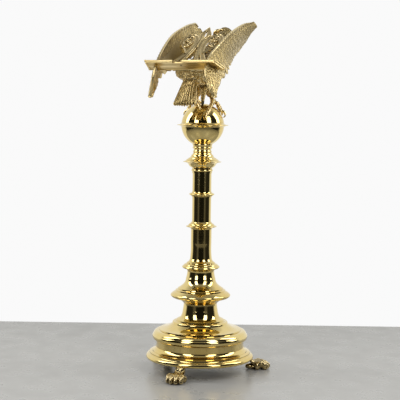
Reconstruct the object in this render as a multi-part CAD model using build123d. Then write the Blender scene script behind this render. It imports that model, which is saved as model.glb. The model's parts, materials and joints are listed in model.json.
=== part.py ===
from build123d import *
import math
import os

# Brass eagle lectern. Millimetres, +Z up, origin on the floor under the column's axis.
# The reader stands at -Y and looks along +Y; the eagle faces +Y.

# ---- driving dimensions -------------------------------------------------------------------
WALL = 3.0                    # wall of the turned brass shells
RUNNING_GAP = 0.3             # air gap between the turning head and the fixed stand
FIT_GAP = 0.05                # radial clearance of the pivot in its bush

FOOT_COUNT = 3
FOOT_REACH = 338.0            # toe tips, from the column's axis
FOOT_HEEL = 222.0
PAW_HALF_WIDTH = 44.0
ANKLE_HALF_WIDTH = 26.0
PAW_HEIGHT = 50.0
BOLT_CIRCLE = 231.0           # foot bolts, from the column's axis
BOLT_RADIUS = 4.0

BASE_BOTTOM = 60.0            # underside of the base flange
SPIDER_REACH = 190.0
SPIDER_THICK = 10.0
FLANGE_TIP = 251.0
DRUM_BOTTOM = 115.0
DRUM_TOP = 147.0
DRUM_RADIUS = 204.0
DOME_RIM = 222.5
DOME_TOP = 252.0
KNOP_BOTTOM = 319.0
KNOP_TIP_Z = 356.0
KNOP_TIP = 140.0
KNOP_TOP = 406.0
COLLAR_BOTTOM = 466.0
COLLAR_TIP = 88.0
COLLAR_TOP = 526.0
SHAFT_RADIUS = 44.0
LOWER_SHAFT_RADIUS = 48.0
RING_LOWER_BOTTOM = 666.0
RING_LOWER_TOP = 699.0
RING_UPPER_BOTTOM = 815.0
RING_UPPER_TOP = 839.0
ASTRAGAL_BOTTOM = 926.0
CAPITAL_BOTTOM = 951.0
CAPITAL_TOP = 1007.0
CAPITAL_TIP = 89.0
ORB_SEAT = 1060.0             # top of the ribbed neck, where the orb rests

ORB_CENTRE = 1148.0
ORB_RADIUS = 99.0
ORB_RING_TIP = 119.0
ORB_RING_HALF = 10.0
ROD_RADIUS = 8.0
ROD_BOTTOM = 30.0
NUT_TOP = 47.0                # of the tie rod's nut
NUT_FLATS = 26.0
SPINDLE_RADIUS = 12.0
SOCKET_RADIUS = 24.0          # of the pivot's socket, and of the washer on it
BUSH_RADIUS = 18.0

DESK_ROOT = (-212.0, 1394.0)  # (y, z) of the desk's lower edge, where the ledge starts
DESK_TIP = (107.0, 1603.0)    # (y, z) of the finial's point
DESK_THICK = 9.0
LEDGE_RIM = (-297.0, 1427.0)  # (y, z) of the ledge's front rim
LEDGE_HALF_ROOT = 181.0
LEDGE_HALF_RIM = 165.0
LEDGE_THICK = 8.0

ORB_TOP = ORB_CENTRE + ORB_RADIUS
RING_TOP = ORB_CENTRE + ORB_RING_HALF
RING_BOTTOM = ORB_CENTRE - ORB_RING_HALF


# ---- helpers --------------------------------------------------------------------------------
def turned(start, *steps):
    """A solid of revolution about the column. Points are (radius, z); a pair of points is an arc."""
    edges = []
    here = start
    for step in steps:
        if isinstance(step[0], tuple):
            via, end = step
            edges.append(ThreePointArc((here[0], 0, here[1]), (via[0], 0, via[1]), (end[0], 0, end[1])))
        else:
            end = step
            edges.append(Line((here[0], 0, here[1]), (end[0], 0, end[1])))
        here = end
    edges.append(Line((here[0], 0, here[1]), (start[0], 0, start[1])))
    face = make_face(Wire(edges).edges())
    return revolve(face, Axis.Z)


def disc(radius, bottom, top, hole=0.0):
    """A round plate, washer or tube about the column."""
    solid = Pos(0, 0, (bottom + top) / 2) * Cylinder(radius, top - bottom)
    if hole:
        solid -= Pos(0, 0, (bottom + top) / 2) * Cylinder(hole, top - bottom)
    return solid


def hexagon_nut(across_flats, bottom, top, hole):
    nut = extrude(RegularPolygon(across_flats / math.sqrt(3), 6), top - bottom)
    return Pos(0, 0, bottom) * nut - disc(hole, bottom, top)


def turned_round(solid, count, first_angle=0.0):
    """Copies of a solid spaced evenly about the column."""
    return [Rot(0, 0, first_angle + i * 360 / count) * solid for i in range(count)]


def mirrored(solid):
    return mirror(solid, Plane.YZ)


def rod_between(start, end, radius_start, radius_end):
    """A straight round or tapered bar between two points."""
    axis = Vector(*end) - Vector(*start)
    place = Plane(origin=start, z_dir=axis)
    if abs(radius_start - radius_end) < 0.01:
        bar = Cylinder(radius_start, axis.length)
    else:
        bar = Cone(radius_start, radius_end, axis.length)
    return place * Pos(0, 0, axis.length / 2) * bar


def plate(outline, low, high):
    """A flat outline made solid between two heights above its plane."""
    return Pos(0, 0, low) * extrude(outline, high - low, dir=(0, 0, 1))


def faceted(sections):
    """A closed solid through four-cornered sections, with flat triangles between them."""
    def flat(*corners):
        return Face(Wire.make_polygon(corners))

    faces = [flat(*sections[0]), flat(*sections[-1])]
    for low, high in zip(sections, sections[1:]):
        for i in range(4):
            j = (i + 1) % 4
            faces.append(flat(low[i], low[j], high[j]))
            faces.append(flat(low[i], high[j], high[i]))
    return Solid(Shell(faces))


def export(name, *solids):
    shape = solids[0] if len(solids) == 1 else Compound(children=list(solids))
    export_step(shape, os.path.join("parts", name + ".step"))


# ---- base -----------------------------------------------------------------------------------
def foot():
    """One lion's paw, pointing along -Y: ankle under the flange, instep, and rounded toes."""
    heel, toe = FOOT_HEEL, FOOT_REACH
    side = [
        Line((heel, 0), (toe - 8, 0)),
        ThreePointArc((toe - 8, 0), (toe, 18), (toe - 16, PAW_HEIGHT - 6)),
        Spline([(toe - 16, PAW_HEIGHT - 6), (toe - 45, PAW_HEIGHT), (262, BASE_BOTTOM - 2)]),
        Line((262, BASE_BOTTOM - 2), (256, BASE_BOTTOM)),
        Line((256, BASE_BOTTOM), (heel - 6, BASE_BOTTOM)),
        Line((heel - 6, BASE_BOTTOM), (heel, 0)),
    ]
    profile = make_face(Wire(side).edges())
    slab = Plane.YZ * profile
    slab = Pos(-PAW_HALF_WIDTH, 0, 0) * extrude(slab, 2 * PAW_HALF_WIDTH, dir=(1, 0, 0))
    plan = Polygon(
        (-ANKLE_HALF_WIDTH, heel - 6), (ANKLE_HALF_WIDTH, heel - 6), (ANKLE_HALF_WIDTH, 262),
        (PAW_HALF_WIDTH, 296), (PAW_HALF_WIDTH - 2, toe - 10), (18, toe), (-18, toe),
        (2 - PAW_HALF_WIDTH, toe - 10), (-PAW_HALF_WIDTH, 296), (-ANKLE_HALF_WIDTH, 262), align=None)
    paw = slab & plate(plan, 0, BASE_BOTTOM)
    paw -= Pos(0, BOLT_CIRCLE, BASE_BOTTOM - 14) * Cylinder(BOLT_RADIUS, 28)
    return Rot(0, 0, 180) * paw


def foot_bolt():
    """Set screw that holds a foot: its shank is in the ankle, its cheese head is on the flange lip."""
    shank = Pos(0, -BOLT_CIRCLE, BASE_BOTTOM - 11) * Cylinder(BOLT_RADIUS, 34)
    head = Pos(0, -BOLT_CIRCLE, BASE_BOTTOM + 9) * Cylinder(7, 6)
    return shank + head


def base_flange():
    """Widest moulding: flat lip underneath, round edge bead, two rolls rising to the drum."""
    lip = BASE_BOTTOM + 6
    ring = turned(
        (180, BASE_BOTTOM), (243, BASE_BOTTOM),
        ((249, 63), (FLANGE_TIP, 70)), ((248, 77), (240, 82)),
        ((236, 85), (235, 91)), ((230, 93), (222, 96)), (221, 100),
        ((214, 104), (208, 111)), (206, DRUM_BOTTOM),
        (196, DRUM_BOTTOM), (196, 106), (212, 94), (229, 84), (241, 76), (241, lip), (180, lip))
    holes = Pos(0, -BOLT_CIRCLE, BASE_BOTTOM + 3) * Cylinder(BOLT_RADIUS, 6)
    for hole in turned_round(holes, FOOT_COUNT):
        ring -= hole
    return ring


def base_drum():
    return disc(DRUM_RADIUS, DRUM_BOTTOM, DRUM_TOP, hole=DRUM_RADIUS - 2 * WALL)


def base_dome():
    """Stepped cap over the drum: bold rim roll, cove, and two stepped rings under the neck."""
    return turned(
        (198, DRUM_TOP), (207, DRUM_TOP), ((215, 149), (219, 154)),
        ((DOME_RIM, 164), (218, 176)), ((211, 187), (199, 192)), (191, 193), (190, 198),
        (186, 199), ((155, 207), (130, 223)), (129, 229), ((127, 232), (120, 233)),
        (113, 236), (112, 241), ((108, 244), (101, 247)), (92, DOME_TOP),
        (88, DOME_TOP), (96, 240), (110, 228), (124, 218), (150, 201), (184, 191),
        (198, 186), (212, 172), (213, 160), (204, 154), (198, 152))


def base_spider():
    """Three-armed iron casting drawn up against the flange by the tie rod."""
    bottom = BASE_BOTTOM - SPIDER_THICK
    arm = Pos(0, -SPIDER_REACH / 2, BASE_BOTTOM - SPIDER_THICK / 2) * Box(30, SPIDER_REACH, SPIDER_THICK)
    spider = disc(42, bottom, BASE_BOTTOM)
    for piece in turned_round(arm, FOOT_COUNT, first_angle=60):
        spider += piece
    return spider - disc(ROD_RADIUS + 0.5, bottom, BASE_BOTTOM)


# ---- column ---------------------------------------------------------------------------------
def lower_neck():
    foot_radius = 92
    return turned(
        (foot_radius, DOME_TOP), ((86, 265), (82, 285)), ((79, 302), (78, KNOP_BOTTOM)),
        (78 - WALL, KNOP_BOTTOM), ((79, 285), (foot_radius - 4, DOME_TOP)))


def knop():
    """Wide spreading knop: cove below, sharp rim, two stepped rings above."""
    return turned(
        (78, KNOP_BOTTOM), ((92, 331), (119, 342)), ((131, 346), (138, 352)),
        ((KNOP_TIP, KNOP_TIP_Z), (138, 361)), ((128, 370), (117, 376)), (116, 381),
        (107, 384), (106, 389), ((92, 398), (82, KNOP_TOP)),
        (82 - WALL, KNOP_TOP), (88, 395), (101, 384), (112, 374), (130, 357), (116, 346),
        (90, 335), (78 - WALL, 326), (78 - WALL, KNOP_BOTTOM))


def upper_neck():
    return turned(
        (82, KNOP_TOP), ((73, 418), (69, 435)), ((65, 450), (63, COLLAR_BOTTOM)),
        (63 - WALL, COLLAR_BOTTOM), ((66, 435), (82 - WALL, KNOP_TOP)))


def foot_collar():
    """Collar under the shaft: small cove, sharp rim, two beads above."""
    return turned(
        (63, COLLAR_BOTTOM), ((66, 475), (76, 481)), ((84, 483), (COLLAR_TIP, 488)),
        ((85, 493), (79, 497)), (78, 500), ((72, 503), (67, 505)), (66, 509),
        ((60, 513), (55, 517)), (51, COLLAR_TOP), (51 - WALL, COLLAR_TOP),
        (56, 506), (72, 489), (63 - WALL, 474), (63 - WALL, COLLAR_BOTTOM))


def shaft_lower():
    top, bottom = RING_LOWER_BOTTOM, COLLAR_TOP
    return turned(
        (51, bottom), ((48, 560), (LOWER_SHAFT_RADIUS, 600)), (LOWER_SHAFT_RADIUS, top),
        (LOWER_SHAFT_RADIUS - WALL, top), (LOWER_SHAFT_RADIUS - WALL, 600),
        (51 - WALL, bottom))


def ring_lower():
    bottom, top = RING_LOWER_BOTTOM, RING_LOWER_TOP
    return turned(
        (LOWER_SHAFT_RADIUS - WALL, bottom), (50, bottom), ((55, 672), (64, 675)), (70, 676),
        ((71, 678), (70, 680)), ((62, 683), (58, 689)), (52, 692), ((49, 695), (46, top)),
        (SHAFT_RADIUS - WALL, top), (SHAFT_RADIUS - WALL, bottom + 8))


def shaft_middle():
    return disc(SHAFT_RADIUS, RING_LOWER_TOP, RING_UPPER_BOTTOM, hole=SHAFT_RADIUS - WALL)


def ring_upper():
    bottom, top = RING_UPPER_BOTTOM, RING_UPPER_TOP
    return turned(
        (SHAFT_RADIUS - WALL, bottom), (46.5, bottom), (47, 820), ((52, 821), (54, 824)),
        ((58.5, 828), (54, 832)), ((51, 834), (47, 835)), (46, top), (SHAFT_RADIUS - WALL, top))


def shaft_upper():
    return disc(SHAFT_RADIUS, RING_UPPER_TOP, ASTRAGAL_BOTTOM, hole=SHAFT_RADIUS - WALL)


def astragal():
    """Half-round bead between two fillets at the head of the shaft."""
    bottom, top = ASTRAGAL_BOTTOM, CAPITAL_BOTTOM
    return turned(
        (SHAFT_RADIUS - WALL, bottom), (46.5, bottom), (46.5, 934), ((50, 939), (46.5, 944)),
        (47, top), (SHAFT_RADIUS - WALL, top))


def capital_flange():
    """Thin spreading flange under the ribbed neck."""
    bottom, top = CAPITAL_BOTTOM, CAPITAL_TOP
    return turned(
        (SHAFT_RADIUS - WALL, bottom), (49, bottom), ((58, 957), (64, 966)), ((74, 974), (87, 977)),
        ((CAPITAL_TIP, 978.5), (87, 980)), ((78, 984), (72, 990)), (66, 993), (64, 996),
        ((56, 1000), (51, top)), (SHAFT_RADIUS - WALL, top))


def ribbed_neck():
    """Waisted neck with small ribs, carrying the orb."""
    bottom, top = CAPITAL_TOP, ORB_SEAT
    waist = 40
    return turned(
        (waist - 2 * WALL, bottom), (51, bottom), (50, 1011), ((46, 1013), (44, 1018)),
        (waist + 1, 1022), ((waist + 4, 1026), (waist + 1, 1030)), (waist, 1034),
        (waist + 2, 1040), ((waist + 6, 1044), (waist + 3, 1048)), (waist + 4, 1052),
        (46, 1057), (46, top), (waist - 2 * WALL, top))


# ---- orb and pivot --------------------------------------------------------------------------
def orb_shell(low, high):
    """The hollow ball between two heights."""
    ball = Pos(0, 0, ORB_CENTRE) * (Sphere(ORB_RADIUS) - Sphere(ORB_RADIUS - WALL))
    return ball & disc(ORB_RADIUS + 1, low, high)


def orb_ring():
    """Equatorial ring: thick where it meets the ball, hollowing out to a fine edge."""
    inner, root = ORB_RADIUS - 3 * WALL, ORB_RADIUS - 0.5
    edge = 1.5
    return turned(
        (inner, RING_BOTTOM), (root, RING_BOTTOM),
        ((105, ORB_CENTRE - 4.5), (ORB_RING_TIP - 1, ORB_CENTRE - edge)),
        ((ORB_RING_TIP, ORB_CENTRE), (ORB_RING_TIP - 1, ORB_CENTRE + edge)),
        ((105, ORB_CENTRE + 4.5), (root, RING_TOP)), (inner, RING_TOP))


def tie_rod():
    """Long rod that clamps feet, base, shaft and orb together."""
    return disc(ROD_RADIUS, ROD_BOTTOM, ROD_TOP)


def tie_rod_washer():
    return disc(18, NUT_TOP, BASE_BOTTOM - SPIDER_THICK, hole=ROD_RADIUS)


def tie_rod_nut():
    return hexagon_nut(NUT_FLATS, NUT_TOP - 12, NUT_TOP, ROD_RADIUS)


SOCKET_BOTTOM = ORB_SEAT
SOCKET_TOP = 1132.0
WASHER_TOP = SOCKET_TOP + 3.0
BUSH_BOTTOM = WASHER_TOP + RUNNING_GAP
BUSH_TOP = 1200.0
SPINDLE_TOP = 1216.0
ROD_TOP = 1092.0


def pivot_spindle():
    """Steel socket screwed on the tie rod; its upper end is the pin that the eagle turns on."""
    base_top = SOCKET_BOTTOM + 8
    socket = disc(SOCKET_RADIUS + 6, SOCKET_BOTTOM, base_top) + disc(SOCKET_RADIUS, base_top, SOCKET_TOP)
    socket += disc(SPINDLE_RADIUS, SOCKET_TOP, SPINDLE_TOP)
    return socket - disc(ROD_RADIUS, SOCKET_BOTTOM, ROD_TOP)


def bearing_plate():
    """Brass web across the upper half of the orb, which holds the bush upright."""
    bottom = RING_TOP + RUNNING_GAP
    thick = 6.0
    radius = math.sqrt((ORB_RADIUS - WALL) ** 2 - (bottom + thick - ORB_CENTRE) ** 2)
    return disc(radius, bottom, bottom + thick, hole=BUSH_RADIUS)


def pivot_bush():
    return disc(BUSH_RADIUS, BUSH_BOTTOM, BUSH_TOP, hole=SPINDLE_RADIUS + FIT_GAP)


def thrust_washer():
    return disc(SOCKET_RADIUS, SOCKET_TOP, WASHER_TOP, hole=SPINDLE_RADIUS)


def spindle_nut():
    bottom = BUSH_TOP + RUNNING_GAP
    return hexagon_nut(36, bottom, bottom + 10, SPINDLE_RADIUS)


# ---- eagle ----------------------------------------------------------------------------------
BODY_REAR = (0, -128, 1352)
BODY_FRONT = (0, 168, 1468)
BODY_RADIUS = 60.0
CASTING_WALL = 6.0
HEAD_CENTRE = (0, 288, 1584)
HEAD_RADIUS = 27.0
LEG_X = 30.0
HIP_Z = 1352.0
ANKLE_Z = 1272.0


def body_spindle(inset):
    """Rump, back and breast as one solid of revolution, or the hollow in it at an inset."""
    axis = Vector(*BODY_FRONT) - Vector(*BODY_REAR)
    length = axis.length
    start, end = inset, length - inset
    outline = [
        Line((0, start), (22 - inset, start)),
        Spline([(22 - inset, start), (BODY_RADIUS - 8 - inset, 0.28 * length),
                (BODY_RADIUS - inset, 0.6 * length), (34 - inset, end)]),
        Line((34 - inset, end), (0, end)),
        Line((0, end), (0, start)),
    ]
    half = Plane.XZ * make_face(Wire(outline).edges())
    return Plane(origin=BODY_REAR, z_dir=axis) * revolve(half, Axis.Z)


def body_form():
    """Outer form of body and neck, trimmed to stay under the desk."""
    neck = rod_between((0, 120, 1452), (0, 268, 1562), 50, 26)
    return body_spindle(0) + neck - above_desk()


def eagle_body():
    """The hollow casting of rump, back, breast and neck."""
    return body_form() - (body_spindle(CASTING_WALL) - above_desk(drop=CASTING_WALL))


def eagle_head():
    """Head turned to its own left, with a hooked beak."""
    x, y, z = HEAD_CENTRE
    skull = Pos(x, y, z) * Sphere(HEAD_RADIUS)
    beak = rod_between((x - 18, y, z + 4), (x - 52, y + 2, z - 4), 15, 3)
    return skull + beak


# Chords of the right wing, from the rear feather tips to the raised wrist: a point on the
# smooth upper rim and a point on the feathered lower edge, each (x, y, z).
WING_CHORDS = [
    ((149, -262, 1276), (150, -246, 1270)),
    ((140, -290, 1325), (149, -187, 1325)),
    ((129, -296, 1385), (155, -100, 1388)),
    ((123, -247, 1445), (138, 12, 1424)),
    ((132, -144, 1505), (118, 110, 1457)),
    ((139, -29, 1562), (103, 238, 1501)),
    ((141, 131, 1612), (110, 306, 1543)),
    ((150, 250, 1640), (124, 338, 1590)),
    ((152, 290, 1645), (140, 322, 1630)),
]
WING_HALF_THICK = 5.0


def right_wing():
    """A twisted blade through its chords, with a lug that bolts to the shoulder."""
    sections = []
    for rim, edge in WING_CHORDS:
        sections.append([
            (rim[0] - WING_HALF_THICK, rim[1], rim[2]), (rim[0] + WING_HALF_THICK, rim[1], rim[2]),
            (edge[0] + WING_HALF_THICK, edge[1], edge[2]), (edge[0] - WING_HALF_THICK, edge[1], edge[2])])
    lug = rod_between((50, 60, 1450), (120, 60, 1472), 24, 18)
    return faceted(sections) + lug


def tail():
    """Fan of tail feathers pointing down and back, between rump and orb."""
    top, bottom = (-168, 1346), (-222, 1250)
    thick = 12.0
    length = math.dist(top, bottom)
    fan = Polygon((-32, 0), (32, 0), (50, length), (20, length + 6), (-20, length + 6), (-50, length), align=None)
    slope = Plane(origin=(0, top[0], top[1]), x_dir=(1, 0, 0),
                  z_dir=Vector(0, top[1] - bottom[1], bottom[0] - top[0]))
    blade = slope * plate(fan, -thick / 2, thick / 2)
    root = rod_between((0, -112, 1352), (0, -172, 1336), 26, 18)
    return blade + root


def right_leg():
    """Feathered thigh and bare shank, standing on the orb."""
    thigh = rod_between((LEG_X, -8, HIP_Z), (LEG_X + 3, 6, ANKLE_Z), 27, 13)
    shank = rod_between((LEG_X + 3, 6, ANKLE_Z), (LEG_X + 3, 6, ORB_TOP - 8), 11, 11)
    return thigh + shank


def talons():
    """Right foot: knuckle on the ball and four toes bent over it, each ending in a claw."""
    radius = ORB_RADIUS + 8
    toe_radius = 7.0
    tilt, turn = 20.0, 10.0       # where the foot stands, from the top of the ball
    toes = [(-5, 52), (50, 44), (95, 42), (-100, 38)]   # (direction, reach), degrees

    def on_ball(polar):
        angle = math.radians(polar)
        return (radius * math.sin(angle), 0, radius * math.cos(angle))

    claws = Pos(0, 0, radius) * Sphere(13)
    for direction, reach in toes:
        path = ThreePointArc(on_ball(4), on_ball(reach / 2), on_ball(reach))
        toe = sweep(Plane(origin=path @ 0, z_dir=path % 0) * Circle(toe_radius), path)
        claw = rod_between(on_ball(reach), on_ball(reach + 12), toe_radius - 0.5, 2.5)
        claws += Rot(0, 0, direction - turn) * (toe + claw)
    claws = Pos(0, 0, ORB_CENTRE) * Rot(0, 0, turn) * Rot(0, tilt, 0) * claws
    return claws - Pos(0, 0, ORB_CENTRE) * Sphere(ORB_RADIUS)


# ---- desk and ledge -------------------------------------------------------------------------
DESK_RUN = DESK_TIP[0] - DESK_ROOT[0]
DESK_RISE = DESK_TIP[1] - DESK_ROOT[1]
DESK_LENGTH = math.hypot(DESK_RUN, DESK_RISE)
DESK_COS = DESK_RUN / DESK_LENGTH
DESK_SIN = DESK_RISE / DESK_LENGTH
LEDGE_RUN = DESK_ROOT[0] - LEDGE_RIM[0]
LEDGE_RISE = LEDGE_RIM[1] - DESK_ROOT[1]
LEDGE_DEPTH = math.hypot(LEDGE_RUN, LEDGE_RISE)
LEDGE_COS = LEDGE_RUN / LEDGE_DEPTH
LEDGE_SIN = LEDGE_RISE / LEDGE_DEPTH
DESK = Plane(origin=(0, *DESK_ROOT), x_dir=(1, 0, 0), z_dir=(0, -DESK_SIN, DESK_COS))
LEDGE = Plane(origin=(0, *DESK_ROOT), x_dir=(1, 0, 0), z_dir=(0, LEDGE_SIN, LEDGE_COS))
SCREW_X = 46.0
SCREW_V = 14.0                # up the desk from its root
TAB_THICK = 5.0
TAB_LENGTH = 25.0
NOTCH_HALF = 22.0
MOULDING = 12.0               # width of the front moulding, and its drop below the shelf's top
LIP = 4.0                     # its rise above the shelf's top, which keeps the book on
END_WIDTH = 8.0


def scroll_rest():
    """Openwork book rest, one casting: two splayed legs, two volutes and a pointed finial."""
    foot_x, cross_v = 48, 208
    rest = Sketch() + Polygon((foot_x - 11, 2), (foot_x + 9, 2), (14, cross_v), (0, cross_v + 6), (0, cross_v - 36),
                              align=None)
    rest += Pos(58, 236) * Circle(44)
    rest -= Pos(58, 236) * Circle(31)
    rest += Pos(58, 236) * Circle(11)
    rest += Pos(36, 226) * Rectangle(34, 9)
    rest += Polygon((0, 200), (14, 232), (32, 318), (0, DESK_LENGTH), align=None)
    rest -= Pos(0, 300) * Ellipse(7, 30)
    rest += mirror(rest, Plane.YZ)
    casting = DESK * plate(rest, -DESK_THICK, 0)
    for side in (-1, 1):
        casting -= screw_hole(side)
    return casting


def screw_hole(side):
    return DESK * Pos(side * SCREW_X, SCREW_V, -(DESK_THICK + TAB_THICK) / 2) * \
        Cylinder(2.5, DESK_THICK + TAB_THICK)


def ledge_screw(side):
    """Countersunk-style screw through a leg of the rest into the ledge's tab."""
    head = DESK * Pos(side * SCREW_X, SCREW_V, 1.5) * Cylinder(5, 3)
    return head + screw_hole(side)


def ledge_end_x(depth):
    """Half-width of the ledge at a depth from its root, because its ends taper."""
    return LEDGE_HALF_ROOT + (LEDGE_HALF_RIM - LEDGE_HALF_ROOT) * depth / LEDGE_DEPTH


def ledge_shelf():
    """Sloping shelf with a front notch and a tab that runs up behind the rest's legs."""
    depth = LEDGE_DEPTH - MOULDING
    root_x, front_x = ledge_end_x(0) - END_WIDTH, ledge_end_x(depth) - END_WIDTH
    plan = Polygon(
        (-root_x, 0), (root_x, 0), (front_x, -depth), (NOTCH_HALF, -depth), (NOTCH_HALF, 14 - depth),
        (-NOTCH_HALF, 14 - depth), (-NOTCH_HALF, -depth), (-front_x, -depth), align=None)
    shelf = LEDGE * plate(plan, -LEDGE_THICK, 0)
    y, z = DESK_ROOT
    shelf_heel = (y - LEDGE_THICK * LEDGE_SIN, z - LEDGE_THICK * LEDGE_COS)
    desk_heel = (y + DESK_THICK * DESK_SIN, z - DESK_THICK * DESK_COS)
    tab_top = (desk_heel[0] + TAB_LENGTH * DESK_COS, desk_heel[1] + TAB_LENGTH * DESK_SIN)
    tab_back = (tab_top[0] + TAB_THICK * DESK_SIN, tab_top[1] - TAB_THICK * DESK_COS)
    tab_foot = (desk_heel[0] - 1, desk_heel[1] - TAB_THICK - 2)
    bite = 3.0                    # how far the tab's root runs into the shelf
    bite_y, bite_z = -bite * LEDGE_COS, bite * LEDGE_SIN
    side = Plane.YZ * make_face(Polyline(
        (shelf_heel[0] + bite_y, shelf_heel[1] + bite_z), (y + bite_y, z + bite_z), (y, z),
        desk_heel, tab_top, tab_back, tab_foot, close=True).edges())
    shelf += Pos(-62, 0, 0) * extrude(side, 124, dir=(1, 0, 0))
    for side in (-1, 1):
        shelf -= screw_hole(side)
    return shelf


def rim_moulding():
    """Right half of the front moulding, from the notch to the tapered end."""
    back = LEDGE_DEPTH - MOULDING
    plan = Polygon(
        (NOTCH_HALF, -back), (ledge_end_x(back) - END_WIDTH, -back),
        (LEDGE_HALF_RIM - END_WIDTH, -LEDGE_DEPTH), (NOTCH_HALF, -LEDGE_DEPTH), align=None)
    return LEDGE * plate(plan, -MOULDING, LIP)


def ledge_end():
    """Right-hand end moulding, from root to rim."""
    plan = Polygon(
        (LEDGE_HALF_ROOT - END_WIDTH, 0), (LEDGE_HALF_ROOT, 0), (LEDGE_HALF_RIM, -LEDGE_DEPTH),
        (LEDGE_HALF_RIM - END_WIDTH, -LEDGE_DEPTH), align=None)
    return LEDGE * plate(plan, -MOULDING, LIP)


def desk_post():
    """Short pillar from the eagle's back to the rest's crossing."""
    return rod_between((0, -30, 1440), (0, -30, 1540), 11, 11)


def above_desk(drop=0.0):
    """Everything above the underside of the desk, or above a plane some way below it."""
    return DESK * Pos(0, DESK_LENGTH / 2, 200 - DESK_THICK - drop) * Box(600, 900, 400)


def ledge_notch():
    """Room for the ledge where it is let into the wings' rear edges."""
    return LEDGE * Pos(0, 20 - LEDGE_DEPTH, 0) * Box(400, 2 * LEDGE_DEPTH, 2 * MOULDING + 3)


# ---- build and write ------------------------------------------------------------------------
os.makedirs("parts", exist_ok=True)

paw = foot()
export("foot_front", paw)
export("foot_right", Rot(0, 0, 120) * paw)
export("foot_left", Rot(0, 0, 240) * paw)
export("foot_bolts", *turned_round(foot_bolt(), FOOT_COUNT))
export("base_flange", base_flange())
export("base_drum", base_drum())
export("base_dome", base_dome())
export("base_spider", base_spider())
export("lower_neck", lower_neck())
export("knop", knop())
export("upper_neck", upper_neck())
export("foot_collar", foot_collar())
export("shaft_lower", shaft_lower())
export("ring_lower", ring_lower())
export("shaft_middle", shaft_middle())
export("ring_upper", ring_upper())
export("shaft_upper", shaft_upper())
export("astragal", astragal())
export("capital_flange", capital_flange())
export("ribbed_neck", ribbed_neck())
export("orb_lower", orb_shell(ORB_SEAT, RING_BOTTOM))
export("orb_ring", orb_ring())
export("tie_rod", tie_rod())
export("tie_rod_washer", tie_rod_washer())
export("tie_rod_nut", tie_rod_nut())
export("pivot_spindle", pivot_spindle())
export("thrust_washer", thrust_washer())
export("spindle_nut", spindle_nut())

export("orb_upper", orb_shell(RING_TOP + RUNNING_GAP, ORB_TOP + 1))
export("bearing_plate", bearing_plate())
export("pivot_bush", pivot_bush())

body = body_form()
claws = talons()
orb = Pos(0, 0, ORB_CENTRE) * Sphere(ORB_RADIUS)
leg = right_leg() - body - claws - orb
wing = right_wing() - body - ledge_notch()
export("eagle_body", eagle_body())
export("eagle_head", eagle_head() - body)
export("wing_right", wing)
export("wing_left", mirrored(wing))
export("tail", tail() - body)
export("leg_right", leg)
export("leg_left", mirrored(leg))
export("talons_right", claws)
export("talons_left", mirrored(claws))
export("desk_post", desk_post() - above_desk() - body)
export("scroll_rest", scroll_rest())
export("ledge_shelf", ledge_shelf())
export("ledge_rim_right", rim_moulding())
export("ledge_rim_left", mirrored(rim_moulding()))
export("ledge_end_right", ledge_end())
export("ledge_end_left", mirrored(ledge_end()))
export("ledge_screws", ledge_screw(-1), ledge_screw(1))
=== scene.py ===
import json
import math
import random

import bpy
import numpy as np
from mathutils import Matrix, Vector


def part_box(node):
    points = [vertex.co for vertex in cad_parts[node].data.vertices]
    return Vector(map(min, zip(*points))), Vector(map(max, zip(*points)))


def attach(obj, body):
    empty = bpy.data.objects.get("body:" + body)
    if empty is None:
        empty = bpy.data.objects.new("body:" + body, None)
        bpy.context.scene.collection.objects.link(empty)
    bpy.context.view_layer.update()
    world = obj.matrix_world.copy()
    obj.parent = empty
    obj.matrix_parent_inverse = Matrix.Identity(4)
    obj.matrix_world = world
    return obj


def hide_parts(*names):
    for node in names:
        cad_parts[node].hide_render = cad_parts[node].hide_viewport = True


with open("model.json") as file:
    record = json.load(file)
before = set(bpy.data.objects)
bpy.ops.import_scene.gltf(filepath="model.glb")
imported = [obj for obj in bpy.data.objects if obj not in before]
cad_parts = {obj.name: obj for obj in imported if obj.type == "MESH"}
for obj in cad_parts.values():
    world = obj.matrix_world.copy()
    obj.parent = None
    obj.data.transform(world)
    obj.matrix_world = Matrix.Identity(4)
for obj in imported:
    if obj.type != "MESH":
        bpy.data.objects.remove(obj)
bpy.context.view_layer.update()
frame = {"nodes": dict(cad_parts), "record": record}

# Brass eagle lectern, in metres. The reader stands at -Y; the eagle faces +Y.

# ---- camera, floor and light ----
VIEW_AZIMUTH = math.radians(21.0)        # camera's place, to the reader's right
CAMERA_DISTANCE = 5.1
CAMERA_HEIGHT = 1.18
CAMERA_PITCH = math.radians(4.26)        # down
CAMERA_YAW = math.radians(0.09)          # to the left
CAMERA_ROLL = math.radians(0.78)
LENS = 99.0                              # on a 36 mm frame
WALL_DISTANCE = 1.15                     # from the column's axis to the floor's far edge
FLOOR_SIDE = 3.2
FLOOR_FRONT = 4.5

TOWARD = Vector((math.sin(VIEW_AZIMUTH), -math.cos(VIEW_AZIMUTH), 0))    # from the axis to the camera
RIGHT = Vector((math.cos(VIEW_AZIMUTH), math.sin(VIEW_AZIMUTH), 0))      # camera's right
UP = Vector((0, 0, 1))
X_AXIS = Vector((1, 0, 0))


def linked(name, data):
    """An object made from a mesh, a camera or a light, and put in the scene."""
    made = bpy.data.objects.new(name, data)
    bpy.context.scene.collection.objects.link(made)
    return made


def make_camera():
    camera = linked("camera", bpy.data.cameras.new("camera"))
    camera.data.lens = LENS
    camera.data.sensor_width = 36.0
    place = TOWARD * CAMERA_DISTANCE + UP * CAMERA_HEIGHT
    turn = (Matrix.Rotation(VIEW_AZIMUTH + CAMERA_YAW, 4, "Z")
            @ Matrix.Rotation(math.pi / 2 - CAMERA_PITCH, 4, "X")
            @ Matrix.Rotation(CAMERA_ROLL, 4, "Z"))
    camera.matrix_world = Matrix.Translation(place) @ turn
    bpy.context.scene.camera = camera
    bpy.context.scene.view_settings.view_transform = "Standard"


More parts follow.
